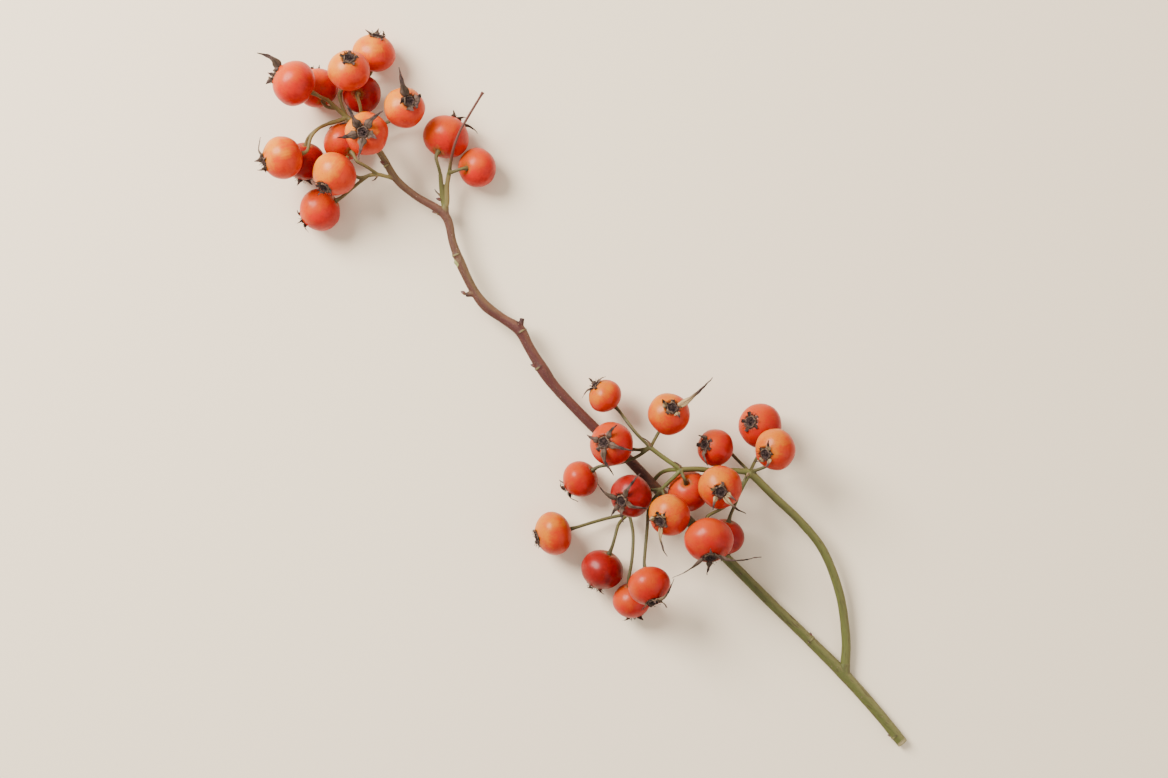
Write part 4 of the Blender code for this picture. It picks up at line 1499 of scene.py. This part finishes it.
# %% Growing the main stem
def grow_main_stem():
    wood = Wood([MAIN_STEM, *STEM_SPURS])
    chain = wood.chains[0]
    apart = np.linalg.norm(wood.points[:, None, :3] - chain[None, :, :3], axis=2)
    wood.alongs = wood.alongs[apart.argmin(1)]  # a spur is as old as the stem beside it
    body, near, outward, length = grow_wood("main_stem_bark", wood, BARK)
    places = coordinates(body.data)
    trunk = wood.own(near, 0)
    scar = np.zeros(len(places))
    for distance, angle, _ in SCARS:
        facing = (outward * side_of(wood.ways[near], angle)).sum(1)
        bell = np.exp(-(((length - distance * MM) / SCAR_WIDTH) ** 2)) * trunk
        scar = np.maximum(scar, bell * np.clip(facing * SCAR_FACING + SCAR_REACH, 0.0, 1.0))
    places += outward * (scar * SCAR_HEIGHT)[:, None]
    end, way = chain[-1], wood.ways[len(chain) - 1]
    slant = way * math.cos(CUT_SLANT) + side_of(way, math.pi / 2)[0] * math.sin(CUT_SLANT)
    plane = end[:3] - way * end[3] * math.tan(CUT_SLANT)
    beyond = (places - plane) @ slant
    cut = (beyond > 0) & trunk
    places -= np.where(cut, beyond, 0.0)[:, None] * slant
    move_points(body.data, places)
    middle = end[:3] - way * ((end[:3] - plane) @ slant) / (way @ slant)
    note(body.data, "cut", np.where(cut, np.linalg.norm(places - middle, axis=1) / end[3], 0.0))
    note(body.data, "scar", scar)
    for name, spurs in (("dead", DEAD_SPURS), ("green", GREEN_SPURS), ("fresh", FRESH_SPURS)):
        towards_tip = np.zeros(len(places))
        for number in spurs:
            own = wood.own(near, number + 1)
            whole = wood.lengths[wood.starts[number + 2] - 1]
            towards_tip[own] = np.clip(length[own] / whole, 0.0, 1.0)
        note(body.data, name, towards_tip)
    return belongs(body, "main_stem"), wood


stem, stem_wood = grow_main_stem()
tell("stems:", [stem])

# %% [markdown]
# ## The stalks
#
# The stalks are grown the same way, one body for each group. Some have turned golden in the autumn,
# most of all one in each upper group. The bare stalk at the right-hand pair has lost its hip; it has
# dried to a rusty brown.

# %% Growing the stalks
BARE_STALK = ("right_stalks", 3)  # its group, and its place among the group's routes
RUSTING = 4.0  # the rust is full after one part in this many of the stalk
GOLDEN = {  # the place of the goldenest stalk among its group's routes, and how golden the others are
    "tip_stalks": (7, 0.65),
    "side_stalks": (0, 0.55),
    "right_stalks": (2, 0.25),
}


def grow_stalks(node):
    wood = Wood([*STALKS[node], *(hip_route(*row) for row in PEDICELS[node].items())])
    body, near, _, _ = grow_wood(f"{node}_skin", wood, STALK_SKIN)
    golden, rusty = np.zeros(len(near)), np.zeros(len(near))
    if node in GOLDEN:
        number, share = GOLDEN[node]
        golden = np.where(wood.own(near, number), 1.0, share)
    if node == BARE_STALK[0]:
        rusty = wood.own(near, BARE_STALK[1]) * np.clip(wood.alongs[near] * RUSTING, 0.0, 1.0)
    note(body.data, "to_hip", near >= wood.starts[len(STALKS[node])])
    note(body.data, "golden", golden)
    note(body.data, "rusty", rusty)
    return belongs(body, node)


tell("groups of stalks:", [grow_stalks(node) for node in STALKS])

# %% [markdown]
# ## Buds at the leaf scars
#
# Above most leaf scars sits a winter bud: a blunt cone of dark red scales that lies close to the stem.
# One bud is modelled, a ball drawn out to a point, with three low spirals that stand for the scales'
# edges. The tree puts a copy on each point of a guide mesh, turned as the guide says, with a size that
# varies a little.

# %% The bud rule and the bud finish
BUD_SIZES = {"Length": 0.0021, "Radius": 0.00062, "Seed": 3}
BUD_SIDES = 18
BUD_RINGS = 14
BUD_COLOURS = (
    (0.05, (0.14, 0.11, 0.035)),
    (0.4, (0.12, 0.028, 0.022)),
    (1.0, (0.040, 0.012, 0.012)),
)
SCALE_EDGE = (0.20, 0.11, 0.055)


def bud_rule():
    rule = Rule("bud_rule", BUD_SIZES)
    x, y, z = rule.split(rule.place())
    up = z * 0.5 + 0.5
    scales = rule.math("SINE", rule.math("ARCTAN2", y, x) * 3.0 + up * 8.0)
    girth = (1.0 - up * up * 0.35) * (1.0 + scales * 0.09) * rule["Radius"]
    bud = rule.kept(rule.kept(rule.ball(BUD_SIDES, BUD_RINGS), "tip", up), "scale", scales)
    bud = rule.moved(bud, Position=rule.joined(x * girth, y * girth, up * rule["Length"]))
    turned = rule.add("FunctionNodeEulerToRotation", Euler=rule.named("turn", "FLOAT_VECTOR"))
    size = rule.chance(0.75, 1.2, rule["Seed"])
    return rule.end(rule.copies(rule["Geometry"], bud, turned, size))


def bud_finish():
    paint = Paint("bud_scales")
    flecks = paint.flecks(1500.0, 2.0)
    red = paint.ramp(paint.stored("tip") + (flecks - 0.5) * 0.25, BUD_COLOURS)
    colour = paint.mixed(paint.stored("scale").step(0.55, 0.95) * 0.55, red, SCALE_EDGE)
    return paint.done(Base_Color=colour, Roughness=0.45, Normal=paint.bump(flecks, 0.06))


print("a bud has", BUD_SIDES * BUD_RINGS, "faces")

# %% Growing the buds
BUD_ABOVE = 0.9 * MM  # from the scar towards the stem's tip
BUD_SEAT = 0.72  # of the stem's radius
BUD_LEAN = 0.65  # away from the stem, where 1 is halfway
LONE_BUDS = (  # buds at other places: the foot and the way it points
    ((-45.7, 36.7, 9.0), (-0.85, 0.5, 0.1)),
    ((-55.2, 73.3, 9.2), (-0.9, 0.25, 0.2)),
)


def turned_points(name, rows):
    """Points with a place and a way to face, for a rule to put copies on."""
    mesh = bpy.data.meshes.new(name)
    mesh.from_pydata([place for place, _ in rows], [], [])
    turns = [Vector(way).to_track_quat("Z", "Y").to_euler() for _, way in rows]
    note(mesh, "turn", np.array([tuple(turn) for turn in turns]))
    return mesh


def grow_buds(wood):
    chain = wood.chains[0]
    rows = []
    for distance, angle, has_bud in SCARS:
        number = int(np.searchsorted(wood.lengths[: len(chain)], distance * MM - BUD_ABOVE))
        way, out = wood.ways[number], side_of(wood.ways[number], angle)[0]
        if has_bud:
            rows.append((chain[number, :3] + out * chain[number, 3] * BUD_SEAT, out * BUD_LEAN - way))
    rows += [(np.array(foot) * MM, Vector(way)) for foot, way in LONE_BUDS]
    buds = grow("buds", bud_rule(), {}, bud_finish(), turned_points("bud_guide", rows))
    rest_on_table(buds.data)
    return belongs(buds)


tell("pieces with all the buds:", [grow_buds(stem_wood)])

# %% [markdown]
# ## Lenticels
#
# Bark breathes through lenticels, small pale corky dots. They are scattered: the tree throws points
# on the bark's own faces with a fixed seed and puts a flat ball of eighty faces on each, half sunk.

# %% The lenticel rule
DOT_FACES = 80
LENTICEL_SIZES = {"Density": 52000.0, "Apart": 0.0016, "Width": 0.00018, "Height": 0.00009, "Seed": 4}


def lenticel_rule():
    rule = Rule("lenticel_rule", LENTICEL_SIZES)
    scatter = rule.add(
        "GeometryNodeDistributePointsOnFaces",
        Mesh=rule["Geometry"],
        Distance_Min=rule["Apart"],
        Density_Max=rule["Density"],
        Seed=rule["Seed"],
        distribute_method="POISSON",
    )
    facing = Term(rule, scatter.socket.node.outputs["Rotation"])
    dot = rule.add("GeometryNodeMeshIcoSphere", Radius=1.0, Subdivisions=2)
    width = rule.chance(0.55, 1.5, rule["Seed"]) * rule["Width"]
    return rule.end(rule.copies(scatter, dot, facing, rule.joined(width, width, rule["Height"])))


def lenticel_finish():
    paint = Paint("cork")
    grains = paint.flecks(3000.0, 2.0)
    colour = paint.mixed(grains.step(0.3, 0.7), (0.13, 0.075, 0.048), (0.27, 0.18, 0.11))
    return paint.done(Base_Color=colour, Roughness=0.9, Normal=paint.bump(grains, 0.03))


def grow_lenticels(bark):
    lenticels = grow("lenticels", lenticel_rule(), {}, lenticel_finish(), bark.data.copy())
    rest_on_table(lenticels.data)
    return belongs(lenticels)


print("lenticels:", len(grow_lenticels(stem).data.polygons) // DOT_FACES)

# %% [markdown]
# ## Bracts at the forks
#
# Where the stalks fork, a rose has bracts: narrow little leaves, dry by now, like the sepals. They are
# the same shape drawn smaller, so they use the same rule on middle lines of their own.

# %% Growing the bracts
BRACTS = (  # the foot, the way it starts, the way that its tip bends to, and its length in mm
    ((-55.4, 75.0, 9.4), (-0.8, 0.5, 0.3), (-0.7, 1.0, 0.2), 3.4),
    ((-91.6, 104.2, 12.6), (-0.4, -0.8, 0.5), (-1.0, -0.2, 0.1), 3.6),
    ((-80.2, 83.0, 10.1), (-0.2, -0.8, 0.3), (-1.0, -0.7, 0.1), 3.2),
    ((25.6, -22.0, 17.2), (-0.5, 0.9, 0.3), (-1.0, 0.5, 0.1), 5.5),
    ((37.2, -30.4, 17.9), (-0.4, 0.8, 0.4), (-1.0, 0.6, -0.1), 3.6),
    ((63.8, -32.4, 13.8), (-0.6, -0.6, 0.4), (-0.3, -1.0, 0.1), 3.6),
    ((30.4, -38.1, 15.5), (0.7, 0.3, 0.4), (1.0, -0.6, 0.1), 3.0),
)
BRACT_SIZES = {
    "Half Width": 0.62 * MM,
    "Thread": 0.09 * MM,
    "Wave": 1.0 * MM,
    "Twist": 1.6,
    "Pale": 0.55,
}
BELOW_BRACT = Vector((0.0, 0.0, 6.0 * MM))
STRETCHES = (0.40, 0.35, 0.35)  # of the length
TIP_PULL = 1.6  # how much more the middle stretch heeds the tip's way than the start's


def bract_line(foot, start, bend, length):
    """A middle line in three stretches, each nearer to the way that the tip bends to."""
    start, bend = Vector(start), Vector(bend)
    line = [Vector(foot) * MM]
    for way, share in zip((start, start + bend * TIP_PULL, bend), STRETCHES):
        line.append(line[-1] + way.normalized() * length * share * MM)
    return line


def grow_bracts():
    lines = [(bract_line(*row), 0.0, Vector(row[0]) * MM - BELOW_BRACT) for row in BRACTS]
    guide = blade_guide("bract_guide", lines, Vector())
    bracts = grow("bracts", SEPAL_RULE, BRACT_SIZES, SEPAL_FINISH, guide)
    return belongs(bracts)


tell("pieces with all the bracts:", [grow_bracts()])

# %% [markdown]
# ## The table
#
# The sprig lies on a plain pale table. Its finish has only faint, wide clouds of a warmer white, so
# that it isn't one flat value and still takes no attention from the hips. It isn't part of the sprig.

# %% Adding the table
TABLE_SIZE = 8.0


def table_finish():
    paint = Paint("pale_table")
    colour = paint.mixed(paint.flecks(2.0, 4.0), (0.95, 0.79, 0.58), (0.97, 0.83, 0.63))
    return paint.done(Base_Color=colour, Roughness=0.9)


def add_table(size):
    half = size / 2
    corners = [(-half, -half, 0), (half, -half, 0), (half, half, 0), (-half, half, 0)]
    mesh = bpy.data.meshes.new("table")
    mesh.from_pydata(corners, [], [(0, 1, 2, 3)])
    mesh.materials.append(table_finish())
    placed("table", mesh)


add_table(TABLE_SIZE)
print("table:", TABLE_SIZE, "m square")

# %% [markdown]
# ## Soft light
#
# Waxy skin shows what lights it, so the light is a wide one: a disc as large as a window, up and to
# the left, leaves one broad, soft-edged highlight on each hip. A weaker disc stands for the far wall
# and the room's own light fills the shadows.

# %% Adding the light
ROOM_LIGHT = 0.72
ROOM_COLOUR = (0.97, 0.94, 0.89, 1.0)
LIGHTS = {  # the place, how wide it is, its watts and its colour
    "window": ((-0.80, 0.66, 0.84), 0.75, 47.0, (1.0, 0.96, 0.90)),
    "far_wall": ((1.1, -0.6, 0.9), 1.4, 6.5, (1.0, 0.93, 0.86)),
}


def add_light(name, place, size, watts, colour):
    light = bpy.data.lights.new(name, "AREA")
    light.shape = "DISK"
    light.size = size
    light.energy = watts
    light.color = colour
    lamp = added(bpy.data.objects.new(name, light))
    lamp.location = place
    lamp.rotation_euler = (-Vector(place)).to_track_quat("-Z", "Y").to_euler()


for name, row in LIGHTS.items():
    add_light(name, *row)
world = bpy.data.worlds.new("room")
world.use_nodes = True
room = world.node_tree.nodes["Background"]
room.inputs["Color"].default_value = ROOM_COLOUR
room.inputs["Strength"].default_value = ROOM_LIGHT
bpy.context.scene.world = world
print(len(LIGHTS), "lights and the room's own")

# %% [markdown]
# ## The camera
#
# The sprig lies flat, so it is looked at from straight above. A long lens from well up keeps the hips
# round at the picture's edges. The distance follows from the height that the picture has to take in,
# which leaves a little room round the sprig's box.

# %% Adding the camera
PICTURE = (1168, 778)
PICTURE_HEIGHT = 0.304
LENS = 90.0
SENSOR = 36.0


def add_camera():
    camera = bpy.data.cameras.new("camera")
    camera.lens = LENS
    camera.sensor_width = SENSOR
    eye = added(bpy.data.objects.new("camera", camera))
    middle = (cad_low + cad_high) / 2
    width = PICTURE_HEIGHT * PICTURE[0] / PICTURE[1]
    eye.location = (middle.x, middle.y, width / SENSOR * LENS)
    bpy.context.scene.camera = eye
    return eye


print("camera height:", round(add_camera().location.z, 3), "m")

# %% [markdown]
# ## The solids' box
#
# The new surfaces have to stay in the solids' box, because that box is the sprig's stated size. That box
# is printed.

# %% The solids' box
print("solid box in mm:", [round(v / MM, 2) for v in (*cad_low, *cad_high)])
